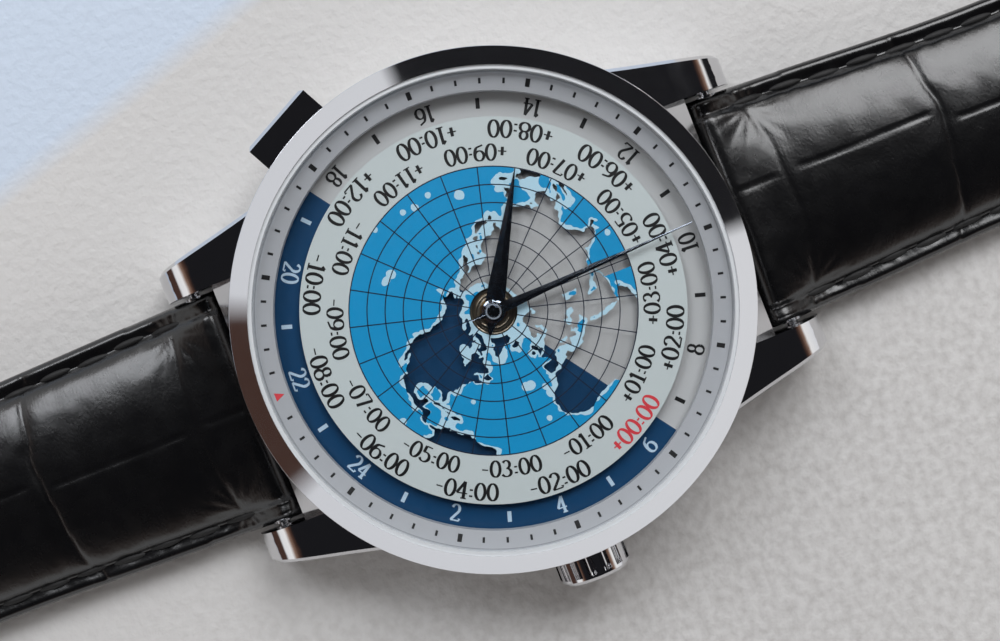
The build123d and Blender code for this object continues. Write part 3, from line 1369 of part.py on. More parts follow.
# Buckle: a frame and a tongue on one bar
frame_inner = upper_half + buckle_side_gap
frame_outer = frame_inner + buckle_side
frame_front = buckle_y + buckle_reach
bar_front_top = edge_break + buckle_thickness
with BuildPart() as buckle_frame:
    with BuildSketch(Plane.YZ) as frame_side:
        with BuildLine():
            ear_back = (buckle_y - buckle_ear_radius, buckle_level)
            ear_top = (buckle_y, buckle_level + buckle_ear_radius)
            ear_foot = (buckle_y, buckle_level - buckle_ear_radius)
            ThreePointArc(ear_foot, ear_back, ear_top)
            front_top = (frame_front - buckle_thickness / 2, bar_front_top)
            middle_y = (buckle_y + frame_front) / 2
            ThreePointArc(ear_top, (middle_y, bar_front_top + buckle_arch), front_top)
            ThreePointArc(front_top, (frame_front, edge_break + buckle_thickness / 2),
                          (frame_front - buckle_thickness / 2, edge_break))
            ThreePointArc((frame_front - buckle_thickness / 2, edge_break),
                          (middle_y, edge_break + buckle_arch), ear_foot)
        make_face()
    extrude(frame_side.sketch, amount=frame_outer, both=True)
    with BuildSketch(Plane.XY) as frame_window:
        with Locations((0, frame_front - buckle_bar_width - buckle_reach)):
            Rectangle(2 * frame_inner, 2 * buckle_reach)
    extrude(frame_window.sketch, amount=2 * pad_top, mode=Mode.SUBTRACT)
    bar_eye(buckle_y, buckle_level, buckle_bar_radius, 2 * frame_inner + buckle_side, Mode.SUBTRACT)
    fillet(buckle_frame.edges().filter_by(Axis.Z).group_by(Axis.Y)[-1], buckle_round)
save(buckle_frame, "buckle_frame")

with BuildPart() as buckle_bar:
    bar_eye(buckle_y, buckle_level, buckle_bar_radius, 2 * frame_inner + buckle_side)
save(buckle_bar, "buckle_bar")

tongue_rest = bar_front_top + thin_gap
with BuildPart() as buckle_tongue:
    with BuildSketch(Plane.YZ) as tongue_side:
        with BuildLine():
            tongue_tip = frame_front - edge_break
            Polyline((buckle_y, buckle_level), (buckle_y, buckle_level + tongue_eye_radius),
                     (tongue_tip, tongue_rest + tongue_thickness), (tongue_tip, tongue_rest),
                     (frame_front - buckle_bar_width - edge_break, tongue_rest + tongue_rise), close=True)
        make_face()
        with Locations((buckle_y, buckle_level)):
            Circle(tongue_eye_radius)
            Circle(buckle_bar_radius + running, mode=Mode.SUBTRACT)
    extrude(tongue_side.sketch, amount=tongue_width / 2, both=True)
save(buckle_tongue, "buckle_tongue")
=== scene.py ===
import math

import bpy
import numpy as np
from mathutils import Matrix, Vector


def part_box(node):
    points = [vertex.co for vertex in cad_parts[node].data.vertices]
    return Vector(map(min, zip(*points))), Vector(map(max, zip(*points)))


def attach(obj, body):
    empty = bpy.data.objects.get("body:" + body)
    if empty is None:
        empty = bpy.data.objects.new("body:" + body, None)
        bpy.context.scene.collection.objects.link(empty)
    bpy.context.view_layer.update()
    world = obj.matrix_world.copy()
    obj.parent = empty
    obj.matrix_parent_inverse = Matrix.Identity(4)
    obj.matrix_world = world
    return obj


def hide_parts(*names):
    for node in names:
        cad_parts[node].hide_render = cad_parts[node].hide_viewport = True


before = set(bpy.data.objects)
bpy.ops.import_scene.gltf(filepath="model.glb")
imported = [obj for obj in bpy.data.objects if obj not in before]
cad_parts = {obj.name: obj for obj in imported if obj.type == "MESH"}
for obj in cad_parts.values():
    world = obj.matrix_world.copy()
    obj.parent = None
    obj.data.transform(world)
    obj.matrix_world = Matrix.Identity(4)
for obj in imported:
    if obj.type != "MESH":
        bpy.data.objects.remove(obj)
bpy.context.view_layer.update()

MM = 0.001

# Radii and levels of the dial, in millimetres, as in the solids
ZONE_RING_INNER = 11.25
ZONE_RING_OUTER = 15.1
MAP_HOLE = 1.86
POLAR_SEA = 2.1
MAP_FACE = 9.05
DAY_FACE = 8.35
DAY_RIM = 17.36
DAY_BORE = 1.4
FLANGE_INNER = 17.05
FLANGE_LIP = 9.7
FLANGE_SLOPE = 0.35 / 1.65
PRINT = 0.012
GRID_WIDTH = 0.08
# Edge of the dark half of the 24-hour disc and place of its hour 22, in degrees clockwise from 12 o'clock
NIGHT_START = 54.6
HOUR_22 = 182.1
# Bezel: inner radius and edge round in millimetres, slope of its cone in degrees
BEZEL_INNER = 18.85
BEZEL_CONE = 39.5
BEZEL_ROUND = 0.12
# Strap, by distance from the dial axis in millimetres: end round the spring bar, bar, radii of the round
# ends, start of the lining, rise of the upper half towards the buckle and its height, where the padding
# thins, buckle bar, ends, keepers, holes from the tip on, and stitches from the edge
STRAP_START = 20.5
STRAP_BAR = 22.4
BAR_ROUND, END_ROUND = 1.9, 1.4
LINING_START = 29.0
RISE_START, RISE_END, RISE = 60.0, 66.0, 0.95
PAD_THINS, PAD_THIN = 46.0, 62.0
BUCKLE_BAR = 97.4
UPPER_END, TIP_START, LOWER_END = 98.8, 127.4, 137.4
FIXED_KEEPER, FREE_KEEPER = 90.4, 79.9
TIP_TO_HOLE, HOLE_PITCH, HOLE_RADIUS = 28.0, 6.5, 0.95
STITCH_INSET = 1.5
# Seams between the large scales, and how far to the side the fold down each scale lies
TILE_SEAMS = (26.1, 39.5, 52.6, 65.2, 77.6, 90.0, 102.0, 114.0)
UPPER_FOLDS = (-1.7, -1.75, -0.7, 0.4, -0.3, 0.5, -0.2, 0.3)
LOWER_FOLDS = (0.0, 0.25, -0.4, 0.3, -0.2, 0.4, -0.3, 0.2)
# Sockets of a colour mix node, which share their names with its other kinds
MIX_A, MIX_B, MIX_RESULT = 6, 7, 2
# Edge of the blue sheet on the table: direction towards it, distance and half of its blur in metres
SHEET_SIDE = (-0.958, -0.288)
SHEET_EDGE = 0.033
SHEET_BLUR = 0.0011
# Directions of the picture on the table: right, up
PICTURE_RIGHT = Vector((0.3671, 0.9302, 0))
PICTURE_UP = Vector((-0.9296, 0.3671, 0))
# Tones of the room: round the table, at the horizon, overhead, and of the two dark things beside the table
ROOM_TONE = (1.0, 0.995, 0.985, 1)
HORIZON_TONE = (0.8, 0.815, 0.85, 1)
CAP_TONE = (0.012, 0.012, 0.014, 1)
STAND_TONE = (0.015, 0.015, 0.017, 1)
SHELF_TONE = (0.07, 0.038, 0.03, 1)


def linear(colour):
    """Turn an sRGB hex colour into linear values."""
    values = [int(colour[i:i + 2], 16) / 255 for i in (1, 3, 5)]
    return [v / 12.92 if v <= 0.04045 else ((v + 0.055) / 1.055) ** 2.4 for v in values] + [1.0]


def add_node(tree, kind, inputs=(), **settings):
    """Add a node, set its properties and named values, and link or fill its other inputs."""
    node = tree.nodes.new(kind)
    for name, value in settings.items():
        if hasattr(node, name) and name not in node.inputs:
            setattr(node, name, value)
        else:
            node.inputs[name.replace("_", " ")].default_value = value
    for name, source in dict(inputs).items():
        if isinstance(source, bpy.types.NodeSocket):
            tree.links.new(source, node.inputs[name])
        else:
            node.inputs[name].default_value = source
    return node


def finish(name, colour, metallic, roughness, **sockets):
    """Start a material with a Principled shader and values on its own sockets."""
    material = bpy.data.materials.new(name)
    material.use_nodes = True
    tree = material.node_tree
    shader = tree.nodes["Principled BSDF"]
    shader.inputs["Base Color"].default_value = linear(colour)
    shader.inputs["Metallic"].default_value = metallic
    shader.inputs["Roughness"].default_value = roughness
    for socket, value in sockets.items():
        shader.inputs[socket.replace("_", " ")].default_value = value
    return material, tree, shader


def grain(tree, size_mm, detail=2.0, stretch=(1, 1, 1)):
    """Noise whose patches have a real size on the object."""
    place = add_node(tree, "ShaderNodeTexCoord")
    scaled = add_node(tree, "ShaderNodeMapping", {"Vector": place.outputs["Object"]},
                      Scale=[s / (size_mm * MM) for s in stretch])
    return add_node(tree, "ShaderNodeTexNoise", {"Vector": scaled.outputs["Vector"]}, Scale=1.0,
                    Detail=detail)


def vary_roughness(tree, shader, pattern, low, high):
    """Let a pattern move the roughness between two values."""
    spread = add_node(tree, "ShaderNodeMapRange", {"Value": pattern.outputs["Fac"]}, To_Min=low, To_Max=high)
    tree.links.new(spread.outputs["Result"], shader.inputs["Roughness"])


def raise_pattern(tree, shader, pattern, height_mm, strength=1.0):
    """Let a pattern lift the surface by a real height."""
    bump = add_node(tree, "ShaderNodeBump", {"Height": pattern.outputs["Fac"]}, Strength=strength,
                    Distance=height_mm * MM)
    tree.links.new(bump.outputs["Normal"], shader.inputs["Normal"])


def vary_colour(tree, shader, pattern, low, high):
    """Let a pattern mix two colours over the surface."""
    mix = add_node(tree, "ShaderNodeMix", {"Factor": pattern.outputs["Fac"], MIX_A: linear(low),
                                           MIX_B: linear(high)}, data_type="RGBA")
    tree.links.new(mix.outputs[MIX_RESULT], shader.inputs["Base Color"])


def polished_steel():
    """316L steel, mirror polished: sharp reflections broken only by faint wipe marks."""
    material, tree, shader = finish("polished_316L_steel", "#dcdcde", 1.0, 0.07)
    vary_roughness(tree, shader, grain(tree, 1.4, 4.0), 0.045, 0.1)
    return material


def brushed_steel():
    """316L steel, circular satin brushing: a soft sheen with fine lines."""
    material, tree, shader = finish("brushed_316L_steel", "#c9cacc", 1.0, 0.3)
    vary_roughness(tree, shader, grain(tree, 0.25, 3.0, (1, 6, 1)), 0.24, 0.38)
    raise_pattern(tree, shader, grain(tree, 0.12, 2.0, (1, 9, 1)), 0.004)
    return material


def striped_plate():
    """Rhodium plated brass with broad milled stripes, as on movement bridges."""
    material, tree, shader = finish("rhodium_striped_plate", "#bdbfc2", 1.0, 0.28)
    place = add_node(tree, "ShaderNodeTexCoord")
    wave = add_node(tree, "ShaderNodeTexWave", {"Vector": place.outputs["Object"]}, wave_type="BANDS",
                    bands_direction="DIAGONAL", wave_profile="SAW", Scale=38.0, Distortion=0.3)
    raise_pattern(tree, shader, wave, 0.05, 0.8)
    vary_roughness(tree, shader, grain(tree, 0.3, 3.0, (1, 8, 1)), 0.2, 0.36)
    return material


def plain_metal(name, colour, low, high, size_mm=0.6):
    """A turned or rolled metal part with slightly uneven gloss."""
    material, tree, shader = finish(name, colour, 1.0, low)
    vary_roughness(tree, shader, grain(tree, size_mm, 3.0), low, high)
    return material


def turned_gilt():
    """Gilded hub turned on a lathe: fine rings that catch the light as a bow tie."""
    material, tree, shader = finish("turned_gilt", "#908676", 1.0, 0.3)
    vary_roughness(tree, shader, grain(tree, 0.6), 0.24, 0.36)
    place = add_node(tree, "ShaderNodeTexCoord")
    # Rings at scale 1 repeat every 0.314 m
    rings = add_node(tree, "ShaderNodeTexWave", {"Vector": place.outputs["Object"]}, wave_type="RINGS",
                     rings_direction="Z", Scale=0.314 / (0.24 * MM))
    raise_pattern(tree, shader, rings, 0.03, 0.8)
    return material


def sapphire_clear():
    """Sapphire crystal with an anti-reflection coating: almost unseen, with a faint mirror gloss."""
    return finish("coated_sapphire", "#f4f8ff", 1.0, 0.02, Alpha=0.035)[0]


def clear_nylon():
    """Milky nylon of the crystal's gasket: a pale ring with a soft sheen."""
    material, tree, shader = finish("milky_nylon", "#d4d8db", 0.0, 0.3)
    vary_roughness(tree, shader, grain(tree, 0.2), 0.24, 0.4)
    return material


def printed_ink(name, colour, roughness=0.45):
    """Pad printed dial ink: a thin even coat with a slight sheen."""
    material, tree, shader = finish(name, colour, 0.0, roughness)
    vary_roughness(tree, shader, grain(tree, 0.5), roughness - 0.08, roughness + 0.08)
    return material


def galvanic_grey(name, colour):
    """Galvanic silver-grey dial coat with a fine satin grain."""
    material, tree, shader = finish(name, colour, 0.12, 0.42)
    vary_roughness(tree, shader, grain(tree, 0.15, 3.0), 0.36, 0.5)
    raise_pattern(tree, shader, grain(tree, 0.08, 2.0), 0.003)
    return material


def black_calf():
    """Black calf leather embossed with large scale grain and glazed: deep black with a wet gloss."""
    material, tree, shader = finish("glazed_embossed_calf", "#060607", 0.0, 0.26, Specular_IOR_Level=0.45,
                                    Coat_Weight=0.45, Coat_Roughness=0.18)
    vary_colour(tree, shader, grain(tree, 2.5, 3.0), "#050506", "#0c0c0e")
    vary_roughness(tree, shader, grain(tree, 1.6, 4.0), 0.2, 0.34)
    raise_pattern(tree, shader, grain(tree, 0.34, 5.0, (1, 1.8, 1)), 0.028, 0.7)
    return material


def lining_calf():
    """Smooth black lining calf, matt with fine pores."""
    material, tree, shader = finish("smooth_lining_calf", "#17130f", 0.0, 0.6)
    vary_colour(tree, shader, grain(tree, 3.0, 3.0), "#120f0d", "#1f1a16")
    raise_pattern(tree, shader, grain(tree, 0.25, 3.0), 0.02, 0.6)
    return material


def waxed_thread():
    """Waxed black polyester sewing thread, laid in two twisted strands."""
    material, tree, shader = finish("waxed_black_thread", "#0b0b0c", 0.0, 0.6)
    raise_pattern(tree, shader, grain(tree, 0.12, 2.0, (3, 1, 1)), 0.03, 0.8)
    return material


def moulded(name, colour, roughness, size_mm):
    """Moulded rubber or plastic, matt with the fine skin that its mould leaves."""
    material, tree, shader = finish(name, colour, 0.0, roughness)
    raise_pattern(tree, shader, grain(tree, size_mm), 0.004)
    return material


def ruby():
    """Polished synthetic ruby of the bearing jewels: glossy deep pink."""
    material, tree, shader = finish("synthetic_ruby", "#a3123a", 0.0, 0.08, IOR=1.77)
    vary_colour(tree, shader, grain(tree, 0.3), "#93103a", "#b81848")
    return material


POLISHED = polished_steel()
BRUSHED = brushed_steel()
STRIPED = striped_plate()
SAPPHIRE = sapphire_clear()
NYLON = clear_nylon()
STEEL_PART = plain_metal("hardened_steel_part", "#b4b6ba", 0.16, 0.3)
HAND_STEEL = plain_metal("polished_hand_steel", "#7d8590", 0.08, 0.16, 0.8)
TRAIN_BRASS = plain_metal("gilded_train_brass", "#c9a25a", 0.2, 0.34)
GILT = turned_gilt()
RUBBER = moulded("moulded_nitrile", "#0d0d0d", 0.62, 0.1)
ACETAL = moulded("moulded_acetal", "#6a6b6c", 0.48, 0.15)
RUBY = ruby()
FLANGE_GREY = galvanic_grey("galvanic_flange", "#afb3b8")
DAY_GREY = galvanic_grey("galvanic_day_side", "#c6c9ca")
NIGHT_NAVY = printed_ink("navy_night_lacquer", "#0e4169", 0.36)
OCEAN_BLUE = printed_ink("ocean_blue_lacquer", "#0c93cb", 0.4)
SHELF_BLUE = printed_ink("pale_sea_lacquer", "#b4d9ea", 0.42)
ZONE_PALE = printed_ink("zone_ring_lacquer", "#c3cecf", 0.42)
INK_BLACK = printed_ink("black_dial_ink", "#08090b")
INK_NAVY = printed_ink("navy_grid_ink", "#0d1b33")
INK_RED = printed_ink("red_dial_ink", "#d43c46")
INK_PALE = printed_ink("pale_blue_dial_ink", "#bcd6ea")
INK_LINE = printed_ink("grey_line_ink", "#8b8f93")
CALF = black_calf()
LINING = lining_calf()
THREAD = waxed_thread()

# Finish of each carried-over node; every other node is a hardened steel part
NODE_FINISH = {
    POLISHED: "case_middle bezel crown pusher buckle_frame buckle_tongue",
    BRUSHED: "case_back",
    SAPPHIRE: "crystal case_back_window map_disc",
    NYLON: "crystal_seal",
    RUBBER: "window_seal case_back_seal crown_seal",
    ACETAL: "casing_ring",
    RUBY: "jewels",
    FLANGE_GREY: "minute_flange",
    DAY_GREY: "day_night_disc",
    GILT: "map_hub",
    STRIPED: "main_plate barrel_bridge train_bridge balance_cock pallet_bridge module_plate rotor",
    TRAIN_BRASS: "barrel centre_wheel third_wheel fourth_wheel minute_wheel hour_wheel day_idler "
                 "balance_wheel",
}
for node_name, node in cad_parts.items():
    node.data.materials.clear()
    node.data.materials.append(next((m for m, names in NODE_FINISH.items() if node_name in names.split()),
                                    STEEL_PART))


def in_scene(name, data):
    """Put a mesh, lamp or camera into the scene as an object."""
    obj = bpy.data.objects.new(name, data)
    bpy.context.scene.collection.objects.link(obj)
    return obj


def piece(name, verts, faces, material, body, smooth=False):
    """Make a mesh piece from millimetres and let it ride a body."""
    mesh = bpy.data.meshes.new(name)
    mesh.from_pydata([(x * MM, y * MM, z * MM) for x, y, z in verts], [], faces)
    mesh.materials.append(material)
    if smooth:
        mesh.shade_smooth()
    obj = in_scene(name, mesh)
    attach(obj, body)
    return obj


def skin(faces, rings, points, start=0, flip=False, loop=False):
    """Add quads between closed rings of points, and in a loop also from the last ring to the first."""
    for i in range(rings if loop else rings - 1):
        a, b = start + i * points, start + (i + 1) % rings * points
        for k in range(points):
            m = (k + 1) % points
            quad = (a + k, a + m, b + m, b + k)
            faces.append(quad[::-1] if flip else quad)


class Print:
    """Flat printed shapes gathered into one mesh."""

    def __init__(self):
        self.verts = []
        self.faces = []

    def shape(self, points):
        """Add one flat face from points with their levels."""
        start = len(self.verts)
        self.verts.extend(points)
        self.faces.append(list(range(start, start + len(points))))

    def make(self, name, material, body, slot):
        """Write the gathered shapes as one piece."""
        piece(name, self.verts, self.faces, material, body)


def at(radius, clockwise):
    """Point at a radius and an angle clockwise from 12 o'clock."""
    angle = math.radians(clockwise)
    return radius * math.sin(angle), radius * math.cos(angle)


def flange_level(radius):
    """Height of the sloped flange at a radius."""
    return FLANGE_LIP + (radius - FLANGE_INNER) * FLANGE_SLOPE + PRINT


def radial_bar(sheet, clockwise, inner, outer, width, level):
    """Add a bar that points along the radius. level gives height from radius."""
    ux, uy = at(1, clockwise)
    half = width / 2
    corners = [(inner, -half), (outer, -half), (outer, half), (inner, half)]
    sheet.shape([(r * ux + s * uy, r * uy - s * ux, level(r)) for r, s in corners])


def ring_band(sheet, inner, outer, start, end, level, step=1.0):
    """Add a band of a ring between two clockwise angles."""
    count = max(2, int(abs(end - start) / step))
    for i in range(count):
        a = start + (end - start) * i / count
        b = start + (end - start) * (i + 1) / count
        corners = [(inner, a), (outer, a), (outer, b), (inner, b)]
        sheet.shape([(*at(r, angle), level(r)) for r, angle in corners])


def arc_points(cx, cy, rx, ry, start, end, count=14):
    """Points of an ellipse arc inside a unit character box."""
    angles = [math.radians(start + (end - start) * i / count) for i in range(count + 1)]
    return [(cx + rx * math.cos(a), cy + ry * math.sin(a)) for a in angles]


# Plain numerals as pen paths in a box one unit high
GLYPHS = {
    "0": [arc_points(0.36, 0.5, 0.28, 0.49, 90, 450, 26)],
    "1": [[(0.12, 0.82), (0.3, 0.99)], [(0.3, 0.99), (0.3, 0.02)], [(0.1, 0.01), (0.5, 0.01)]],
    "2": [arc_points(0.33, 0.72, 0.25, 0.27, 165, -35) + [(0.08, 0.03)],
          [(0.06, 0.03), (0.62, 0.03), (0.64, 0.16)]],
    "3": [arc_points(0.3, 0.75, 0.22, 0.24, 155, -90), arc_points(0.29, 0.26, 0.28, 0.25, 90, -155)],
    "4": [[(0.46, 0.99), (0.46, 0.01)], [(0.46, 0.99), (0.04, 0.3)], [(0.04, 0.3), (0.66, 0.3)],
          [(0.3, 0.01), (0.62, 0.01)]],
    "5": [[(0.58, 0.97), (0.18, 0.97)], [(0.16, 0.98), (0.14, 0.56)],
          arc_points(0.28, 0.31, 0.29, 0.3, 120, -150)],
    "6": [[(0.58, 0.95), (0.38, 0.88)] + arc_points(0.36, 0.4, 0.28, 0.48, 118, 200, 8),
          arc_points(0.36, 0.31, 0.28, 0.3, 0, 360, 22)],
    "7": [[(0.06, 0.84), (0.08, 0.97), (0.62, 0.97)], [(0.62, 0.97), (0.28, 0.01)]],
    "8": [arc_points(0.34, 0.75, 0.22, 0.235, 0, 360, 20), arc_points(0.34, 0.27, 0.28, 0.26, 0, 360, 22)],
    "9": [[(0.12, 0.05), (0.32, 0.12)] + arc_points(0.34, 0.6, 0.28, 0.48, -62, 20, 8),
          arc_points(0.34, 0.69, 0.28, 0.3, 0, 360, 22)],
    "+": [[(0.06, 0.42), (0.58, 0.42)], [(0.32, 0.16), (0.32, 0.68)]],
    "-": [[(0.08, 0.42), (0.46, 0.42)]],
    ":": [[(0.14, 0.14), (0.14, 0.24)], [(0.14, 0.5), (0.14, 0.6)]],
}
ADVANCE = {"1": 0.58, "+": 0.66, "-": 0.56, ":": 0.32}


def pen_line(points, thin, thick):
    """Quads of a pen line whose upright parts are thick and level parts thin."""
    sides = []
    for i, (x, y) in enumerate(points):
        ax, ay = points[max(i - 1, 0)]
        bx, by = points[min(i + 1, len(points) - 1)]
        length = math.hypot(bx - ax, by - ay) or 1.0
        nx, ny = -(by - ay) / length, (bx - ax) / length
        half = (thin + (thick - thin) * abs(nx) ** 1.3) / 2
        sides.append(((x + nx * half, y + ny * half), (x - nx * half, y - ny * half)))
    return [(a[0], b[0], b[1], a[1]) for a, b in zip(sides, sides[1:])]


def numerals(sheet, text, clockwise, radius, height, squeeze, level, thin, thick):
    """Print numerals on an arc with their tops towards the dial's centre."""
    widths = [ADVANCE.get(c, 0.74) * height * squeeze for c in text]
    place = -sum(widths) / 2
    for character, width in zip(text, widths):
        # Each pen stroke lies a hair above the one before, so that crossing strokes never coincide
        for number, path in enumerate(GLYPHS[character]):
            for quad in pen_line(path, thin, thick):
                corners = []
                for x, y in quad:
                    along = place + x * height * squeeze
                    r = radius - (y - 0.5) * height
                    corners.append((*at(r, clockwise - math.degrees(along / radius)), level + 0.002 * number))
                sheet.shape(corners)
        place += width


def polished_bezel():
    """The bezel turned as one ring, whose straight cone carries clean reflections."""
    low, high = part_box("bezel")
    base, top, outer = low[2] / MM, high[2] / MM, high[0] / MM
    slope = math.tan(math.radians(BEZEL_CONE))
    brow = top - (outer - BEZEL_ROUND - BEZEL_INNER) * slope
    profile = [(BEZEL_INNER, base), (BEZEL_INNER, top)]
    # The edge rounds over from square to the cone down to upright
    start = math.radians(90 - BEZEL_CONE)
    for k in range(7):
        a = math.radians(90 - BEZEL_CONE - (90 - BEZEL_CONE) * k / 6)
        profile.append((outer - BEZEL_ROUND + BEZEL_ROUND * math.cos(a),
                        brow + BEZEL_ROUND * (math.sin(a) - math.sin(start))))
    profile += [(outer, base + 0.5), (outer - 0.3, base)]
    verts, faces, count = [], [], 1080
    for k in range(count):
        verts += [(*at(radius, 360 * k / count), z) for radius, z in profile]
    skin(faces, count, len(profile), loop=True)
    bezel = piece("bezel_ring", verts, faces, POLISHED, "case")
    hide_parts("bezel")


def dial_flange():
    """Minute marks, hairline and red pointer on the sloped flange."""
    marks = Print()
    for minute in range(60):
        # The red pointer takes the place of the mark at 30
        if minute == 30:
            continue
        inner, outer, width = (17.46, 18.08, 0.36) if minute % 5 == 0 else (17.56, 17.98, 0.19)
        radial_bar(marks, minute * 6, inner, outer, width, flange_level)
    marks.make("minute_marks", INK_BLACK, "case", "flange_grey")
    hairline = Print()
    ring_band(hairline, 18.4, 18.47, 0, 360, flange_level)
    hairline.make("flange_hairline", INK_LINE, "case", "flange_grey")
    pointer, tip, base, half = Print(), 17.4, 18.12, 0.34
    pointer.shape([(0, -tip, flange_level(tip)), (-half, -base, flange_level(base)),
                   (half, -base, flange_level(base))])
    pointer.make("red_pointer", INK_RED, "case", "flange_grey")


def day_night_print():
    """The dark and pale halves of the 24-hour disc with its numerals."""
    def ground(r):
        return DAY_FACE + PRINT
    night, day = Print(), Print()
    ring_band(night, DAY_BORE, DAY_RIM, NIGHT_START, NIGHT_START + 180, ground)
    ring_band(day, DAY_BORE, DAY_RIM, NIGHT_START + 180, NIGHT_START + 360, ground)
    night.make("night_half", NIGHT_NAVY, "day_night", "day_night_print")
    day.make("day_half", DAY_GREY, "day_night", "day_night_print")
    pale, dark = Print(), Print()
    for hour in range(1, 25):
        angle = HOUR_22 - (hour - 22) * 15
        sheet = dark if 6.5 < hour < 18.5 else pale
        if hour % 2 == 0:
            numerals(sheet, str(hour), angle, radius=16.12, height=1.32, squeeze=0.86,
                     level=DAY_FACE + 2 * PRINT, thin=0.08, thick=0.2)
        else:
            radial_bar(sheet, angle, inner=15.8, outer=16.64, width=0.32,
                       level=lambda r: DAY_FACE + 2 * PRINT)
    pale.make("night_hours", INK_PALE, "day_night", "day_night_print")
    dark.make("day_hours", INK_BLACK, "day_night", "day_night_print")


def zone_ring():
    """Pale ring round the map with an offset for each of the 24 zones."""
    ring = Print()
    ring_band(ring, ZONE_RING_INNER, ZONE_RING_OUTER, 0, 360, lambda r: MAP_FACE + PRINT)
    ring.make("zone_ring", ZONE_PALE, "world_map", "map_print")
    black, red = Print(), Print()
    for offset in range(-11, 13):
        sheet = red if offset == 0 else black
        text = ("-" if offset < 0 else "+") + f"{abs(offset):02d}:00"
        radius, height = (14.15, 1.34) if offset % 2 == 0 else (12.33, 1.28)
        numerals(sheet, text, 60 - 15 * offset, radius, height, squeeze=0.98, level=MAP_FACE + 2 * PRINT,
                 thin=0.075, thick=0.19)
    black.make("zone_offsets", INK_BLACK, "world_map", "map_print")
    red.make("zone_zero", INK_RED, "world_map", "map_print")


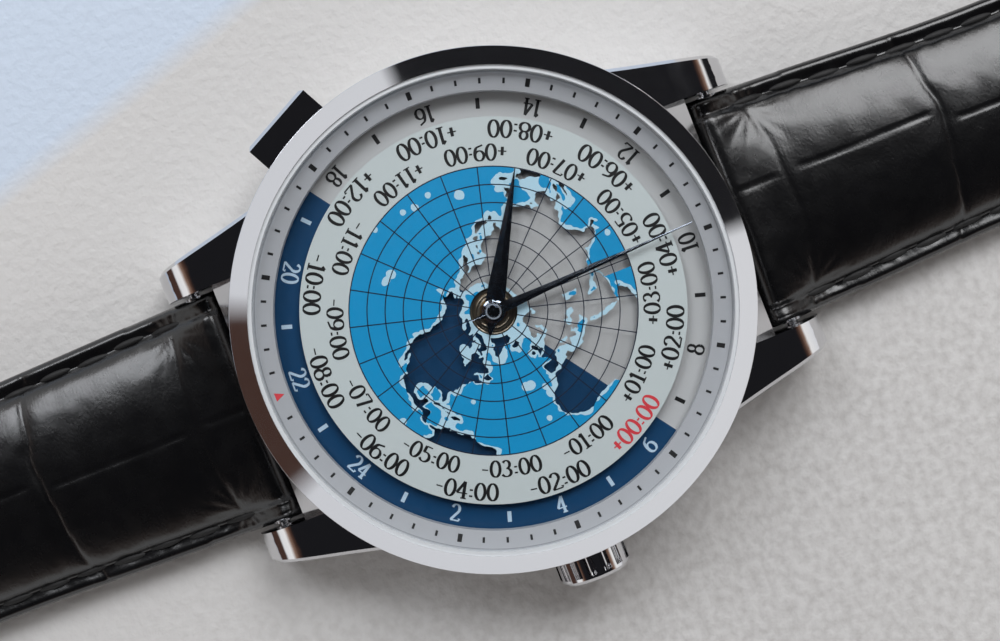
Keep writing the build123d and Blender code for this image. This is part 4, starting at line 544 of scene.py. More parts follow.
# Coast outlines north of the equator, set from general knowledge. Each has a name, then degrees east
# and north in turn, and ends at an empty line
COASTS = """
north_america -168 66 -162 66.5 -163 69 -156 71.3 -149 70.5 -141 69.7 -135 69 -128 70.3 -121 69.8 -115 68.3
-108 68.2 -101 67.8 -95 68.2 -94 71.5 -90 69 -86 67.5 -82 69.5 -82 67 -86 66.3 -88 64 -94 62 -94.5 59 -92.5 57
-87 56 -82.5 55 -82 52.8 -79.5 51.3 -79 54 -76.7 56.5 -78 60 -77.7 62.4 -73 62 -69.5 60.8 -69.5 58.8 -65.5
59.5 -64 60.3 -61.5 56.5 -57.5 54 -56 51.5 -60 50.2 -66 50.2 -69 48.6 -65 49 -64.5 47 -61 45.4 -65.8 43.6 -67
45 -70.5 43.3 -70 41.7 -74 40.6 -75.5 38 -76 36 -78 34 -81 31.5 -80.2 27 -80.8 25.2 -82 27 -83.5 29.8 -86 30.4
-89.5 30 -90 29.2 -94 29.5 -97.3 27.5 -97.7 22.5 -96 19 -94 18.2 -91 18.7 -90.4 21 -87 21.4 -88 18 -88.5 15.9
-84 15.8 -83.4 12.5 -83.7 11 -82 9 -79.6 9.5 -77.5 8.6 -77.9 7.2 -80.2 7.4 -83 8.3 -85.7 10 -87.6 13 -91.5 14
-94.5 16.2 -99.5 16.7 -105.3 20 -106 23 -109.3 26.5 -112.5 29.8 -114.7 31.7 -112.5 28 -110.5 24.2 -109.8 23
-112.2 25.3 -115 28 -117 32.5 -120.6 34.5 -122.4 37.5 -124.3 40.3 -124.2 46 -123.2 48.8 -127.5 51 -130.5 54.5
-133.5 58 -139 59.8 -145 60.5 -149 60 -152 59.3 -156 57.5 -162 55.2 -158 58.5 -162 59.5 -166 61.5 -161 64.5
-166 64.6

south_america -77.9 7.2 -75.5 10.7 -71.8 12.3 -71.5 10.5 -68 11 -62 10.7 -60 8.5 -57 6 -52 4.8 -50 1.8 -50 -3
-80.2 -3 -80 0.5 -78.7 1.5 -77.3 4

greenland -73 78.2 -66 80.5 -58 82 -45 82.5 -30 83.6 -22 82.2 -12.5 81.3 -18 79.5 -19.5 77 -20 74.5 -22 72.5
-22 70.5 -26 68.5 -32 68 -38 65.8 -41 63.5 -43.5 60 -48 61 -51 63.8 -53.5 67 -51 69.5 -54.5 71 -56 73.5 -60
75.8 -68 76

ellesmere -90 76.5 -80 76.2 -77 78.5 -75.5 79.8 -63 82.3 -70 83.1 -85 82.3 -92 81.3 -95 79.5 -88 78

devon -80 75.8 -92 76.2 -92 74.8 -80 74.6

baffin -61.5 66.5 -68 70 -75 72.5 -80.5 73.7 -90 73.5 -89 71 -80 70 -73.5 68 -73 65.3 -78 64.5 -71 62.8 -66 62
-68 63.8 -64 64.8

victoria -117 72.5 -112 73 -105 72.8 -101 69.5 -107 69 -117 70

banks -125 72 -124 74.3 -117 73.2 -122 71.2

melville -117 76 -106 76.6 -106 75 -115 74.8

newfoundland -59.3 47.8 -57 51 -55.7 50 -53 47.5 -56 46.9

southampton -86 65.5 -81 64 -84 63 -87 64

cuba -84.8 21.9 -82 23.1 -77.5 21.8 -74.3 20.2 -77.5 19.9 -78.5 21.2

hispaniola -74.4 18.5 -72.8 19.9 -68.5 18.7 -71.5 17.8

iceland -24 65.5 -20.5 66 -16 66.4 -13.8 65 -18.5 63.4 -22.5 64

britain -5.3 50.1 -3 53.3 -5 55 -5.5 58.3 -3 58.6 -2 57.5 -1.5 55 0.3 53 1.6 52.5 1.2 51.1

ireland -9.8 51.7 -9.7 54.2 -7.5 55.3 -5.7 54.5 -6.3 52.2

eurasia_africa -9.2 38.7 -8.9 43.2 -1.7 43.4 -1.2 46 -4.6 48.4 -1.5 48.8 1.5 50.2 4.2 52 8.3 53.8 8.2 57 10.5
57.6 10 54.5 14 54 18.7 54.7 21.3 56 22 57.6 24 58.9 29.5 59.9 23 60 21.5 61 22 63.3 25.3 65 22 65.7 18 62.7
17.2 60.7 18.8 59.5 16.3 57 14.3 55.5 12.7 56.5 11 59 8 58.1 5.3 59.5 5 62 10 64 14.5 67.5 19 70 25.5 71 31
70.2 40.5 67.3 40 66.2 33.5 66.6 35 64.3 38 64 41 65.2 44 66 44 68.3 54 68.3 60 69 65 69.2 68 68.4 67 71 69 73
73 71.5 73.5 68.3 77 72.2 81 73.5 87 75 98 76.2 104.3 77.7 113 76 111 74 118 73.1 128 73 130 71 140 72.5 152
71 160 69.7 170 70 180 69 190 66.2 182 64.3 179 62.5 170 60.2 163.5 59.8 163 57 159.8 53 156.7 51 155.6 55 157
58 163.5 61.5 160 61.7 155 59.4 149 59.5 142.5 59.2 135.5 54.7 140 53.8 141 52 140.3 48.5 135.5 44 131 43
129.7 41 127.5 39.5 129.4 37 129 35.2 126.5 34.4 126.8 37 125 38 125 39.7 121.5 38.9 122 40.6 118 39.2 118.9
37.5 122.5 37.2 119.3 35 121.8 32 121.8 30 119.5 25.5 116.5 23 113.5 22.2 110 20.5 108 21.6 106 19 108.8 15.5
109.2 11.8 105 8.7 105 10.5 102.5 12 100.8 13.4 99.3 10.5 100.5 7.2 103.5 4 104.2 1.4 101.3 3 100.3 6 98.3 8.2
98.7 12 97.6 16.3 95.3 15.8 94.3 18.5 91.8 22.4 88.5 21.7 86.8 21 82.3 16.8 80.2 15.5 80.2 13 79.8 10.3 77.6
8.1 76.3 10 74.5 14.5 72.8 19 72.7 21 70.5 20.8 69 22.4 67 24.9 61.7 25.1 57.3 25.7 56.5 27 52 27.7 50 30.2 48
30 48.8 28 50.3 26.3 51.3 24.5 54 24.1 56.3 26.2 56.6 24.3 59.8 22.5 57.7 19 55 17 52 15.6 45 12.8 43.3 12.7
42.8 16.3 39.2 21 36.5 25.8 35 28.1 34.9 29.5 32.6 29.9 34 26.5 35.5 23.8 37.2 21 38.6 18 39.7 15.2 43.2 12.4
43.3 11.5 51.2 11.9 48 5 43.5 0.5 42 -3 9 -3 9.5 1 9.8 4 6 4.3 4 6.3 -2 4.8 -8 4.4 -13 9 -16.8 12.5 -17.4 14.7
-16.3 19 -17 21 -14.5 26.2 -10 29.5 -9.7 32 -6 35.8 -2 35.1 5 36.8 10 37.3 10.6 34.5 15 32.4 20 30.8 20.2 32.5
25 31.6 32 31.2 34.5 31.6 35.9 35.5 36 36.7 30.6 36.7 27.5 37 26.3 39.5 29 41 31.5 41.2 35 42 38.5 41 41.5
41.5 39 44.5 37.5 45.5 39 47.2 35 46.2 35.5 45.2 33.7 44.4 32.7 46 30.5 46 28.6 43.7 28 42 29 41.2 26.3 40.8
23 40.5 24 38 22.5 36.5 19.5 40.3 19.5 42 14.5 45 13.6 45.7 12.4 44.3 16 41.7 18.5 40.2 17 39 16 38 15.7 40
12.4 41.7 10 44 7.5 43.8 3.2 43.2 3 41.8 0 39.8 -0.6 37.6 -2.2 36.8 -5.5 36.1 -8.9 37

caspian 47 45 49.5 46.5 53 46.5 53 42 54 39 53.8 37 50 37.5 49.3 40.5 47.5 43

honshu 130.9 34 132.5 35.5 136 36 137 37.3 140 39.5 141.3 41.4 141.9 39.5 140.9 36 139 34.8 136 33.6

hokkaido 140 42 141.7 45.4 145.3 43.3 143 42

kyushu 130 31.3 129.8 33.2 131.7 33.6 134.5 34.2 134 33.3 131.4 31.4

sakhalin 142 46 142 54.2 143 53 143.5 49.3 142.7 46.6

taiwan 120.2 22.8 121.5 25.1 121 22.2

hainan 108.7 19.2 110.9 20 109.5 18.2

luzon 120.3 16 120.8 18.5 122.2 18.3 121.7 15 124 12.8 120.8 13.8

mindanao 122 7 124 8.6 126.2 9.3 126.3 6.4 124 6.3

borneo 109.5 1.8 113 3.3 116.8 7 119 5.2 117.8 2 118.5 0 118 -3 109 -3

sumatra 95.3 5.6 98 4.2 101 2.2 103.8 0 103 -3 99.5 -1 98.7 1.6

ceylon 79.9 8.5 80.3 9.7 81.8 7.2 80.5 6

svalbard 11 79.5 20 80.4 27 80.1 18 77.2 14 77.5

novaya 52 71 56 74 66 76.8 68 76.5 58 72.5 57 70.6

severnaya 96 79 95 81 104 79.5 102 78.2

new_siberia 138 75.5 143 76 150 75 142 74"""

# Wide shallow seas: degrees east and north, and reach in degrees
SHALLOWS = [(-75, 16, 7), (-90, 25, 5), (-84, 59, 6), (-60, 70, 5), (0, 84, 30), (15, 38, 12), (34, 43, 5),
            (38, 20, 8), (134, 40, 5), (124, 30, 6), (112, 8, 8), (128, 12, 6), (-157, 20, 6), (4, 57, 5),
            (40, 74, 12), (120, 75, 30), (150, 50, 6), (92, 8, 6)]

# Reefs and banks round islands too small to print: degrees east and north, and radius in millimetres
REEFS = [(-157, 20, 0.42), (-161, 22, 0.34), (145, 15, 0.36), (-25, 38, 0.4), (-28, 39, 0.3), (-16, 28, 0.35),
         (-64, 32, 0.2), (73, 4, 0.3), (166, 9, 0.28), (-176, 0.5, 0.25), (-24, 15, 0.28), (-17, 33, 0.22),
         (171, 7, 0.25), (-91, 1, 0.3), (158, 7, 0.26)]


def map_point(east, north):
    """Place of a longitude and latitude on the map disc, in millimetres, pole at the centre."""
    return at((90 - north) * ZONE_RING_INNER / 90, 60 - east)


def lattice_noise(x, y, size, seed):
    """Smooth noise between -1 and 1 on numpy arrays, with patches of a real size."""
    table = np.random.RandomState(seed).uniform(-1, 1, (64, 64))
    u, v = x / size + 32, y / size + 32
    i, j = np.floor(u).astype(int), np.floor(v).astype(int)
    fu, fv = u - i, v - j
    fu, fv = fu * fu * (3 - 2 * fu), fv * fv * (3 - 2 * fv)
    i, j, k, m = i % 64, j % 64, (i + 1) % 64, (j + 1) % 64
    low = table[i, j] * (1 - fu) + table[k, j] * fu
    high = table[i, m] * (1 - fu) + table[k, m] * fu
    return low * (1 - fv) + high * fv


def coast_distance(x, y):
    """Distance to the nearest coast in millimetres, negative on land."""
    nearest = np.full(x.shape, 1e9)
    inside = np.zeros(x.shape, bool)
    for outline in COASTS.split("\n\n"):
        values = [float(v) for v in outline.split()[1:]]
        corners = list(zip(values[::2], values[1::2]))
        points = []
        for (e0, n0), (e1, n1) in zip(corners, corners[1:] + corners[:1]):
            pieces = max(1, int(max(abs(e1 - e0), abs(n1 - n0)) / 4))
            points += [map_point(e0 + (e1 - e0) * i / pieces, n0 + (n1 - n0) * i / pieces)
                       for i in range(pieces)]
        for (ax, ay), (bx, by) in zip(points, points[1:] + points[:1]):
            dx, dy = bx - ax, by - ay
            along = np.clip(((x - ax) * dx + (y - ay) * dy) / (dx * dx + dy * dy + 1e-12), 0, 1)
            nearest = np.minimum(nearest, (x - ax - along * dx) ** 2 + (y - ay - along * dy) ** 2)
            crosses = (ay > y) != (by > y)
            if dy:
                inside ^= crosses & (x < ax + (y - ay) * dx / dy)
    return np.where(inside, -1, 1) * np.sqrt(nearest)


def fill_region(sheet, field, xs, ys, level):
    """Fill where the field is positive: whole cells in rows, cut cells along the zero line."""
    def cells(i, low, high):
        return [(xs[i], ys[low], level), (xs[i + 1], ys[low], level), (xs[i + 1], ys[high], level),
                (xs[i], ys[high], level)]
    for i in range(len(xs) - 1):
        run = None
        for j in range(len(ys) - 1):
            values = [field[i, j], field[i + 1, j], field[i + 1, j + 1], field[i, j + 1]]
            if min(values) > 0:
                run = j if run is None else run
                continue
            if run is not None:
                sheet.shape(cells(i, run, j))
                run = None
            if max(values) > 0:
                corners = cells(i, j, j + 1)
                outline = []
                for k in range(4):
                    (ax, ay, _), (bx, by, _) = corners[k], corners[(k + 1) % 4]
                    a, b = values[k], values[(k + 1) % 4]
                    if a > 0:
                        outline.append((ax, ay, level))
                    if (a > 0) != (b > 0):
                        t = a / (a - b)
                        outline.append((ax + (bx - ax) * t, ay + (by - ay) * t, level))
                if len(outline) > 2:
                    sheet.shape(outline)


def world_map():
    """Blue sea with pale shallows; the land is left clear so that the 24-hour disc shows through."""
    count = 330
    xs = np.linspace(-ZONE_RING_INNER, ZONE_RING_INNER, count)
    x, y = np.meshgrid(xs, xs, indexing="ij")
    radius = np.hypot(x, y)
    coast = coast_distance(x, y)
    # Small bays and capes, and open sea round the pole
    coast = coast + 0.1 * lattice_noise(x, y, 0.42, 3) + 0.06 * lattice_noise(x, y, 0.2, 4)
    coast = np.maximum(coast, POLAR_SEA - radius)
    plate = np.minimum(ZONE_RING_INNER + 0.02 - radius, radius - MAP_HOLE)
    sea = np.minimum(coast, plate)
    # How far the shallows reach from the coast, in uneven patches
    reach = np.full(x.shape, 0.2)
    for east, north, wide in SHALLOWS:
        cx, cy = map_point(east, north)
        away = np.hypot(x - cx, y - cy) * 90 / ZONE_RING_INNER
        reach = np.maximum(reach, 0.9 * np.clip(1.25 - away / wide, 0, 1))
    patchy = lattice_noise(x, y, 0.8, 5) + 0.6 * lattice_noise(x, y, 0.36, 6)
    reach = reach * (1 + 0.8 * patchy) + 0.05 * patchy
    shallow = reach - coast
    for east, north, size in REEFS:
        cx, cy = map_point(east, north)
        shallow = np.maximum(shallow, size * (1 + 0.35 * patchy) - np.hypot(x - cx, y - cy))
    shallow = np.minimum(sea, shallow)
    blue, pale, lines = Print(), Print(), Print()

    def grid_level(r):
        return MAP_FACE + 2.4 * PRINT
    fill_region(blue, sea, xs, xs, MAP_FACE + PRINT)
    fill_region(pale, shallow, xs, xs, MAP_FACE + 1.6 * PRINT)
    blue.make("map_sea", OCEAN_BLUE, "world_map", "map_print")
    pale.make("map_shallows", SHELF_BLUE, "world_map", "map_print")
    for k in range(24):
        radial_bar(lines, k * 15, MAP_HOLE if k % 2 == 0 else 2.8, ZONE_RING_INNER, GRID_WIDTH, grid_level)
    for k in range(2, 9):
        r = k * ZONE_RING_INNER / 8
        ring_band(lines, r - GRID_WIDTH / 2, r + GRID_WIDTH / 2, 0, 360, grid_level, 3.0)
    lines.make("map_grid", INK_NAVY, "world_map", "map_print")


def faceted_hand(name, node, body, clockwise, level, length, tail, half_width, shape, hub, ridge):
    """A hand with a ridge down its middle and a round hub, in place of the flat solid."""
    ux, uy = at(1, clockwise)

    def spot(along, side, height):
        return (along * ux + side * uy, along * uy - side * ux, level + height)
    verts, faces = [], []
    sections = [(-tail, 0.02)] + [(share * length, width * half_width) for share, width in shape]
    for along, width in sections:
        rise = ridge * min(1.0, width / (0.5 * half_width))
        verts += [spot(along, -width, 0.05), spot(along, 0, 0.05 + rise), spot(along, width, 0.05),
                  spot(along, width, 0.0), spot(along, -width, 0.0)]
    skin(faces, len(sections), 5)
    faces += [tuple(range(5)), tuple(range(len(verts) - 1, len(verts) - 6, -1))]
    count = 48
    for r0, r1, z0, z1 in ((hub, hub, 0.0, 0.14), (hub, hub * 0.84, 0.14, 0.2),
                           (hub * 0.84, hub * 0.66, 0.2, 0.13), (hub * 0.66, hub * 0.6, 0.13, 0.24),
                           (hub * 0.6, 0.0, 0.24, 0.27)):
        start = len(verts)
        verts += [(*at(r, 360 * k / count), level + z) for r, z in ((r0, z0), (r1, z1)) for k in range(count)]
        skin(faces, 2, count, start, flip=True)
    hand = piece(name, verts, faces, HAND_STEEL, body)
    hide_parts(node)


def smooth_step(value, low, high):
    """Ease from 0 to 1 between two values."""
    t = np.clip((value - low) / (high - low), 0, 1)
    return t * t * (3 - 2 * t)


def bell(distance):
    """1 at no distance, falling off on both sides."""
    return np.exp(-distance ** 2)


def rounded(run, power=2):
    """Fall from 1 to 0 along a rounded edge."""
    return np.sqrt(np.clip(1 - run ** power, 0, 1))


def strap_half_width(s, upper):
    """Half of the strap's width at a distance, with the rounded tip on the long half."""
    if upper:
        return 9.85 - 0.9 * smooth_step(s, STRAP_BAR, 45.0)
    half = 9.85 - 0.59 * smooth_step(s, STRAP_BAR, 47.0) - 0.4 * smooth_step(s, 47.0, 128.0)
    run = np.clip((s - TIP_START) / 10.0, 0, 1)
    return half - 5.6 * run ** 1.6


def strap_form(s, x, half, upper):
    """Top and bottom heights of the outer leather at s along the strap and x across it."""
    lift = RISE * smooth_step(s, RISE_START, RISE_END) if upper else 0 * s
    round_end = rounded(np.clip((STRAP_BAR - s) / BAR_ROUND, 0, 1))
    base_top = 2.75 + 2.0 * (1 - smooth_step(s, 20.6, 27.2)) + lift
    base_low = np.where(s < LINING_START, 1.12 - 1.07 * smooth_step(s, STRAP_BAR, LINING_START), 1.0) + lift
    # Padding that crowns between the stitches, thick near the case and thin further on
    pad_half = half - STITCH_INSET
    t = np.clip(np.abs(x) / pad_half, 0, 1)
    full = smooth_step(s, 21.6, 27.0) * (1 - smooth_step(s, PAD_THINS, PAD_THIN)) + 0.18
    pad = 1.5 * full * (1 - t ** 2.2) ** 0.7
    wave = 0.25 * lattice_noise(x, s, 5.0, 11) + 0.12 * lattice_noise(x, s, 1.4, 12)
    top = base_top + pad + 0.1 * wave * (t < 1)
    # Seams between the scales, with a soft hollow round each, and a fold down each scale
    seam_depth = 0 * x
    for number, seam in enumerate(TILE_SEAMS):
        line = seam - 0.016 * x ** 2 + 0.25 * lattice_noise(x, 0 * x + seam, 2.2, 14)
        gap = np.abs(s - line)
        share = 0.5 if number == 0 else 1.0
        seam_depth += share * (0.07 * bell(gap / 0.7) + 0.1 * bell(gap / 0.16))
        middle = (UPPER_FOLDS if upper else LOWER_FOLDS)[number]
        before = TILE_SEAMS[number - 1] if number else STRAP_START
        inside = smooth_step(s, before + 0.6, before + 1.6) * (1 - smooth_step(s, seam - 1.4, seam - 0.5))
        drift = middle + 0.12 * lattice_noise(0 * x, s, 3.0, 15)
        seam_depth += 0.09 * inside * bell((x - drift) / 0.14)
    # Folds that fan out from the corners beside the case
    side_shift = lattice_noise(0 * x, s, 6.0, 13)
    for corner in (-1, 1):
        dx, ds = x - corner * (half - 2.2), s - 25.2
        spread = np.hypot(dx, ds)
        fan = np.cos(13 * np.arctan2(dx, ds) + 1.5 * side_shift)
        seam_depth += 0.035 * bell((spread - 1.7) / 1.4) * np.clip(fan, 0, 1)
    # The leather is crushed where the sewing pulls it in, beside a channel that rises softly to the edge
    rough = lattice_noise(x, s, 0.7, 16) + 0.6 * lattice_noise(x, s, 0.34, 17)
    seam_depth += 0.05 * rough * bell((np.abs(x) - pad_half + 0.1) / 0.5)
    seam_depth += 0.012 * lattice_noise(x, s, 1.0, 18)
    beside = np.abs(x) - pad_half - 0.05
    channel = 0.24 * bell(beside / np.where(beside > 0, 0.8, 0.36))
    top = top - seam_depth * (t < 1.2) - channel
    # Rounded edges and ends
    edge = np.clip((np.abs(x) - half + 0.9) / 0.9, 0, 1)
    middle_level = (base_low + base_top) / 2
    top = middle_level + (top - middle_level) * rounded(edge, 2.4)
    low = middle_level + (base_low - middle_level) * rounded(edge, 6)
    top = 3.0 + (top - 3.0) * round_end
    low = 3.0 + (low - 3.0) * round_end
    if upper:
        shut = rounded(np.clip((s - BUCKLE_BAR) / END_ROUND, 0, 1))
        top = 2.4 + (top - 2.4) * shut
        low = 2.4 + (low - 2.4) * shut
    else:
        end = smooth_step(s, 136.2, LOWER_END)
        top = middle_level + (top - middle_level) * np.sqrt(np.clip(1 - end, 0.02, 1))
    return top, low


def strap_leather(name, upper, body):
    """One half of the padded strap as a closed leather form, with its sewn channels and large scales."""
    sign = 1 if upper else -1
    stop = UPPER_END if upper else LOWER_END
    start = np.concatenate([np.linspace(STRAP_START, STRAP_BAR, 14), np.linspace(22.6, LINING_START, 30)])
    middle = np.arange(29.04, stop - 1.4, 0.22)
    ends = np.concatenate([start, middle, np.linspace(stop - 1.38, stop, 12)])
    across = np.sin(np.linspace(-np.pi / 2, np.pi / 2, 129))
    under = np.linspace(1, -1, 9)[1:-1]
    rows = []
    for s in ends:
        half = float(strap_half_width(s, upper))
        x = np.concatenate([across, under]) * half
        top, low = strap_form(np.full(x.shape, s), x, half, upper)
        z = np.concatenate([top[:len(across)], low[len(across):]])
        rows.append(np.stack([x, np.full(x.shape, sign * s), z], 1))
    width = len(rows[0])
    verts = np.concatenate(rows)
    faces = []
    skin(faces, len(rows), width, flip=not upper)
    cap_a = tuple(range(width))
    cap_b = tuple(range((len(rows) - 1) * width, len(rows) * width))
    faces += [cap_a[::-1], cap_b] if upper else [cap_a, cap_b[::-1]]
    strap = piece(name, verts.tolist(), faces, CALF, body, smooth=True)
    return strap


def strap_lining(name, upper, body):
    """Thin lining leather under a strap half, with softened edges."""
    sign = 1 if upper else -1
    stop = 92.4 if upper else 137.2
    verts, faces = [], []
    stations = np.linspace(29.06, stop, 160)
    for s in stations:
        half = float(strap_half_width(s, upper)) - 0.12
        lift = RISE * float(smooth_step(s, RISE_START, RISE_END)) if upper else 0.0
        profile = [(-half + 0.3, 0.0), (half - 0.3, 0.0), (half - 0.08, 0.12), (half, 0.4), (half, 0.98),
                   (-half, 0.98), (-half, 0.4), (-half + 0.08, 0.12)]
        verts += [(x, sign * s, z + lift) for x, z in profile]
    n = len(profile)
    skin(faces, len(stations), n, flip=upper)
    faces += [tuple(range(n)), tuple(range(len(verts) - 1, len(verts) - n - 1, -1))]
    return piece(name, verts, faces, LINING, body)


def cut_with(target, outlines):
    """Cut upright holes through a leather piece, along outlines in millimetres."""
    verts, faces = [], []
    for outline in outlines:
        start, n = len(verts), len(outline)
        verts += [(x * MM, y * MM, z * MM) for z in (-1, 9) for x, y in outline]
        skin(faces, 2, n, start)
        faces += [tuple(range(start, start + n))[::-1], tuple(range(start + n, start + 2 * n))]
    mesh = bpy.data.meshes.new("cutter")
    mesh.from_pydata(verts, [], faces)
    cutter = in_scene("cutter", mesh)
    modifier = target.modifiers.new("holes", "BOOLEAN")
    modifier.operation = "DIFFERENCE"
    modifier.object = cutter
    graph = bpy.context.evaluated_depsgraph_get()
    cut = bpy.data.meshes.new_from_object(target.evaluated_get(graph))
    target.modifiers.clear()
    target.data = cut
    bpy.data.objects.remove(cutter)


def strap_stitches(name, upper, body):
    """Black stitches that lie in the channels along both edges of a strap half."""
    sign = 1 if upper else -1
    stop = 90.5 if upper else 127.0
    verts, faces = [], []
    first, pitch, reach, ring = 24.3, 3.3, 2.7, 8
    for side in (-1, 1):
        s = first
        while s + reach < stop:
            spine = [s + reach * k / 8 for k in range(9)]
            start = len(verts)
            for k, place in enumerate(spine):
                half = float(strap_half_width(place, upper))
                x = side * (half - STITCH_INSET + 0.07 + 0.1 * math.sin(3.0 * s))
                top = strap_form(np.array([place]), np.array([x]), half, upper)[0]
                swell = math.sin(math.pi * (0.06 + 0.88 * k / 8)) ** 0.5
                sink = 0.2 - 0.3 * swell
                for j in range(ring):
                    a = 2 * math.pi * j / ring
                    verts.append((x + 0.3 * swell * math.cos(a), sign * place,
                                  float(top[0]) - sink + 0.17 * swell * math.sin(a)))
            skin(faces, len(spine), ring, start, flip=upper)
            s += pitch
    piece(name, verts, faces, THREAD, body, smooth=True)


def leather_loop(name, centre, body):
    """A keeper: a flat leather band bent into a rounded loop with crowned faces."""
    path = []
    half_x, low, high, corner = 9.6, 0.43, 7.15, 1.3
    for cx, cz, start in ((half_x - corner, high - corner, 0), (-half_x + corner, high - corner, 90),
                          (-half_x + corner, low + corner, 180), (half_x - corner, low + corner, 270)):
        for k in range(9):
            a = math.radians(start + 90 * k / 8)
            path.append((cx + corner * math.cos(a), cz + corner * math.sin(a), math.cos(a), math.sin(a)))
    section = [(-2.45, -0.3), (-2.5, 0.0), (-2.4, 0.26), (-1.9, 0.36), (0.0, 0.4), (1.9, 0.36), (2.4, 0.26),
               (2.5, 0.0), (2.45, -0.3), (0.0, -0.38)]
    verts, faces = [], []
    for x, z, nx, nz in path:
        verts += [(x + nx * out, centre + along, z + nz * out) for along, out in section]
    skin(faces, len(path), len(section), loop=True)
    loop = piece(name, verts, faces, CALF, body, smooth=True)
    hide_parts(name.replace("_leather", ""))


def straps():
    """Both strap halves with lining, stitches and keepers in place of the plain solids."""
    upper = strap_leather("upper_strap_leather", True, "upper_strap")
    cut_with(upper, [[(x, BUCKLE_BAR + y) for x, y in ((1.15, 5), (-1.15, 5), (-1.15, -5), (1.15, -5))]])
    lower = strap_leather("lower_strap_leather", False, "lower_strap")
    upper_lining = strap_lining("upper_lining_leather", True, "upper_strap")
    lower_lining = strap_lining("lower_lining_leather", False, "lower_strap")
    holes = [arc_points(0, HOLE_PITCH * k + TIP_TO_HOLE - LOWER_END, HOLE_RADIUS, HOLE_RADIUS,
                        180 / 28, 360 + 180 / 28, 28)[:28] for k in range(7)]
    cut_with(lower, holes)
    cut_with(lower_lining, holes)
    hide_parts("upper_strap")
    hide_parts("lower_strap")
    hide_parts("upper_strap_lining")
    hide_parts("lower_strap_lining")
    strap_stitches("upper_stitches", True, "upper_strap")
    strap_stitches("lower_stitches", False, "lower_strap")
    leather_loop("fixed_keeper_leather", FIXED_KEEPER, "upper_strap")
    leather_loop("free_keeper_leather", FREE_KEEPER, "free_keeper")


def photo_camera():
    """Camera fitted to the minute marks: almost straight above, 12 o'clock to the upper right."""
    lens = bpy.data.cameras.new("photo_camera")
    lens.sensor_width = 36.0
    lens.lens = 52.2
    lens.clip_start = 0.005
    camera = in_scene("photo_camera", lens)
    turn = Matrix(((0.3671, -0.929616, -0.032416), (0.930169, 0.367055, 0.00754),
                   (0.004889, -0.03292, 0.999446)))
    camera.matrix_world = Matrix.Translation(Vector((-2.799, 1.047, 121.802)) * MM) @ turn.to_4x4()
    bpy.context.scene.camera = camera


def table_floor():
    """Pale matt table covering with a soft pebble grain, painted shade in the grain's hollows, and a pale
    blue sheet behind the watch.
    """
    material, tree, shader = finish("pale_vinyl_table", "#d6d6d8", 0.0, 0.7)
    place = add_node(tree, "ShaderNodeTexCoord")
    away = add_node(tree, "ShaderNodeVectorMath", {0: place.outputs["Object"], 1: (*SHEET_SIDE, 0)},
                    operation="DOT_PRODUCT")
    # The sheet's edge is a straight line on the table, softened because the photo has it out of focus
    edge = add_node(tree, "ShaderNodeMapRange", {"Value": away.outputs["Value"]},
                    From_Min=SHEET_EDGE - SHEET_BLUR, From_Max=SHEET_EDGE + SHEET_BLUR)
    tone = grain(tree, 38.0, 2.0)
    mottle = add_node(tree, "ShaderNodeMix", {"Factor": tone.outputs["Fac"], MIX_A: linear("#c9c8c7"),
                                              MIX_B: linear("#d9d8d6")}, data_type="RGBA")
    sheet = add_node(tree, "ShaderNodeMix", {"Factor": edge.outputs["Result"],
                                             MIX_A: mottle.outputs[MIX_RESULT],
                                             MIX_B: linear("#cad7e7")}, data_type="RGBA")
    # Painted shade in the grain's hollows, deepest away from the sheet; the far side of the table is out of
    # focus in the photo, so the painted shade fades towards it
    painted_shade_reach = add_node(tree, "ShaderNodeMapRange", {"Value": away.outputs["Value"]}, From_Min=-0.026,
                    From_Max=0.004, To_Min=0.78)
    pebble = grain(tree, 0.9, 5.0)
    painted_hollow_shade = add_node(tree, "ShaderNodeMapRange", {"Value": pebble.outputs["Fac"],
                                                   "To Min": painted_shade_reach.outputs["Result"]},
                      From_Min=0.3, From_Max=0.62)
    # Painted shade: up to about a fifth of a dark brown is mixed into the table's colour in the grain's
    # hollows
    painted_shade_mix = add_node(tree, "ShaderNodeMix", {"Factor": painted_hollow_shade.outputs["Result"], MIX_A: linear("#4a3a2c"),
                                              MIX_B: sheet.outputs[MIX_RESULT]}, data_type="RGBA")
    tree.links.new(painted_shade_mix.outputs[MIX_RESULT], shader.inputs["Base Color"])
    raise_pattern(tree, shader, pebble, 0.2, 0.75)
    mesh = bpy.data.meshes.new("table_floor")
    mesh.from_pydata([(x, y, 0) for x, y in ((-1.5, -1.5), (1.5, -1.5), (1.5, 1.5), (-1.5, 1.5))], [],
                     [(0, 1, 2, 3)])
    mesh.materials.append(material)
    floor = in_scene("table_floor", mesh)
    # A hair below the case back, so that the two faces never coincide
    floor.location = (0, 0, -0.00004)


def softbox(name, direction, distance, size, power, colour):
    """A large soft lamp that shines on the watch from a direction."""
    lamp = bpy.data.lights.new(name, "AREA")
    lamp.shape = "RECTANGLE"
    lamp.size, lamp.size_y = size
    lamp.energy = power
    lamp.color = linear(colour)[:3]
    light = in_scene(name, lamp)
    light.location = direction.normalized() * distance
    light.rotation_euler = direction.to_track_quat("Z", "Y").to_euler()


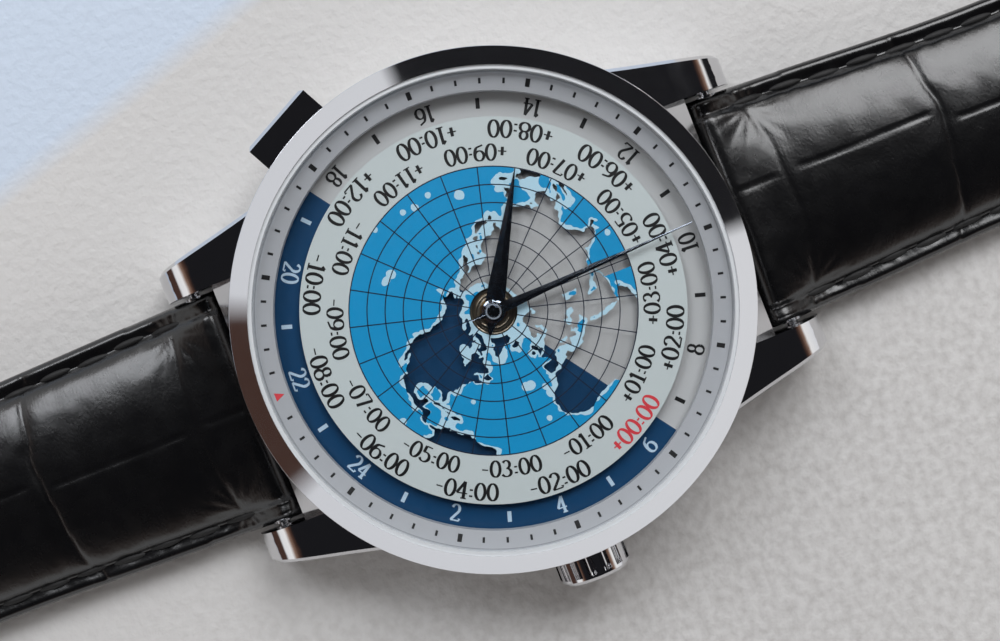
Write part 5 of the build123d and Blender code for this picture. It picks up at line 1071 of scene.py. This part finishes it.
def room_light():
    """Bright room with a dark cap overhead, round the camera, and two dark things beside the table."""
    world = bpy.data.worlds.new("room")
    bpy.context.scene.world = world
    world.use_nodes = True
    tree = world.node_tree
    background = tree.nodes["Background"]
    place = add_node(tree, "ShaderNodeTexCoord")
    height = add_node(tree, "ShaderNodeSeparateXYZ", {"Vector": place.outputs["Generated"]})
    # The cap reaches further down on the picture's right than on its left
    side = add_node(tree, "ShaderNodeVectorMath",
                    {0: place.outputs["Generated"], 1: -PICTURE_RIGHT.normalized()}, operation="DOT_PRODUCT")
    leaning = add_node(tree, "ShaderNodeMath", {0: side.outputs["Value"], 1: -0.08, 2: height.outputs["Z"]},
                       operation="MULTIPLY_ADD")
    rise = add_node(tree, "ShaderNodeValToRGB", {"Fac": leaning.outputs[0]})
    ramp = rise.color_ramp
    ramp.elements[0].color = HORIZON_TONE
    ramp.elements[0].position = 0.0
    ramp.elements[1].color = CAP_TONE
    ramp.elements[1].position = 0.86
    for position, colour in ((0.5, ROOM_TONE), (0.58, (0.3, 0.19, 0.14, 1)), (0.66, (0.08, 0.04, 0.028, 1)),
                             (0.72, CAP_TONE)):
        ramp.elements.new(position).color = colour
    low = add_node(tree, "ShaderNodeMapRange", {"Value": height.outputs["Z"]}, From_Min=0.42, From_Max=0.3)
    colour = rise.outputs["Color"]
    # A dark stand behind the watch and a brown shelf at the picture's left darken the bezel on those sides
    for direction, outer, inner, tone in (
            (PICTURE_UP + PICTURE_RIGHT * 0.445, 0.64, 0.69, STAND_TONE),
            (PICTURE_RIGHT * -0.927 - PICTURE_UP * 0.375, 0.91, 0.95, SHELF_TONE)):
        side = add_node(tree, "ShaderNodeVectorMath",
                        {0: place.outputs["Generated"], 1: direction.normalized()}, operation="DOT_PRODUCT")
        within = add_node(tree, "ShaderNodeMapRange", {"Value": side.outputs["Value"]}, From_Min=outer,
                          From_Max=inner)
        cover = add_node(tree, "ShaderNodeMath", {0: within.outputs["Result"], 1: low.outputs["Result"]},
                         operation="MULTIPLY")
        colour = add_node(tree, "ShaderNodeMix", {"Factor": cover.outputs[0], MIX_A: colour, MIX_B: tone},
                          data_type="RGBA").outputs[MIX_RESULT]
    tree.links.new(colour, background.inputs["Color"])
    background.inputs["Strength"].default_value = 1.0
    softbox("window_lamp", Vector((-0.53, 0.45, 0.79)), 0.6, (0.34, 0.32), 2.5, "#f8f9fb")
    softbox("second_window_lamp", Vector((-0.62, -0.26, 0.76)), 0.6, (0.2, 0.22), 1.05, "#f4f7fc")


photo_camera()
table_floor()
room_light()
polished_bezel()
dial_flange()
day_night_print()
zone_ring()
world_map()
faceted_hand("hour_hand_faceted", "hour_hand", "hour_set", clockwise=300.0, level=9.3, length=11.1, tail=2.0,
             half_width=0.74, hub=0.92, ridge=0.14,
             shape=((0, 0.92), (0.09, 1), (0.19, 0.94), (0.3, 0.82), (0.45, 0.66), (0.65, 0.46),
                    (0.85, 0.24), (1, 0.04)))
faceted_hand("minute_hand_faceted", "minute_hand", "minute_set", clockwise=357.3, level=9.7, length=16.8,
             tail=1.9, half_width=0.42, hub=0.62, ridge=0.07,
             shape=((0, 0.9), (0.06, 1), (0.14, 0.86), (0.26, 0.66), (0.43, 0.5), (0.6, 0.37),
                    (0.85, 0.2), (1, 0.08)))
straps()

scene = bpy.context.scene
scene.view_settings.view_transform = "Standard"
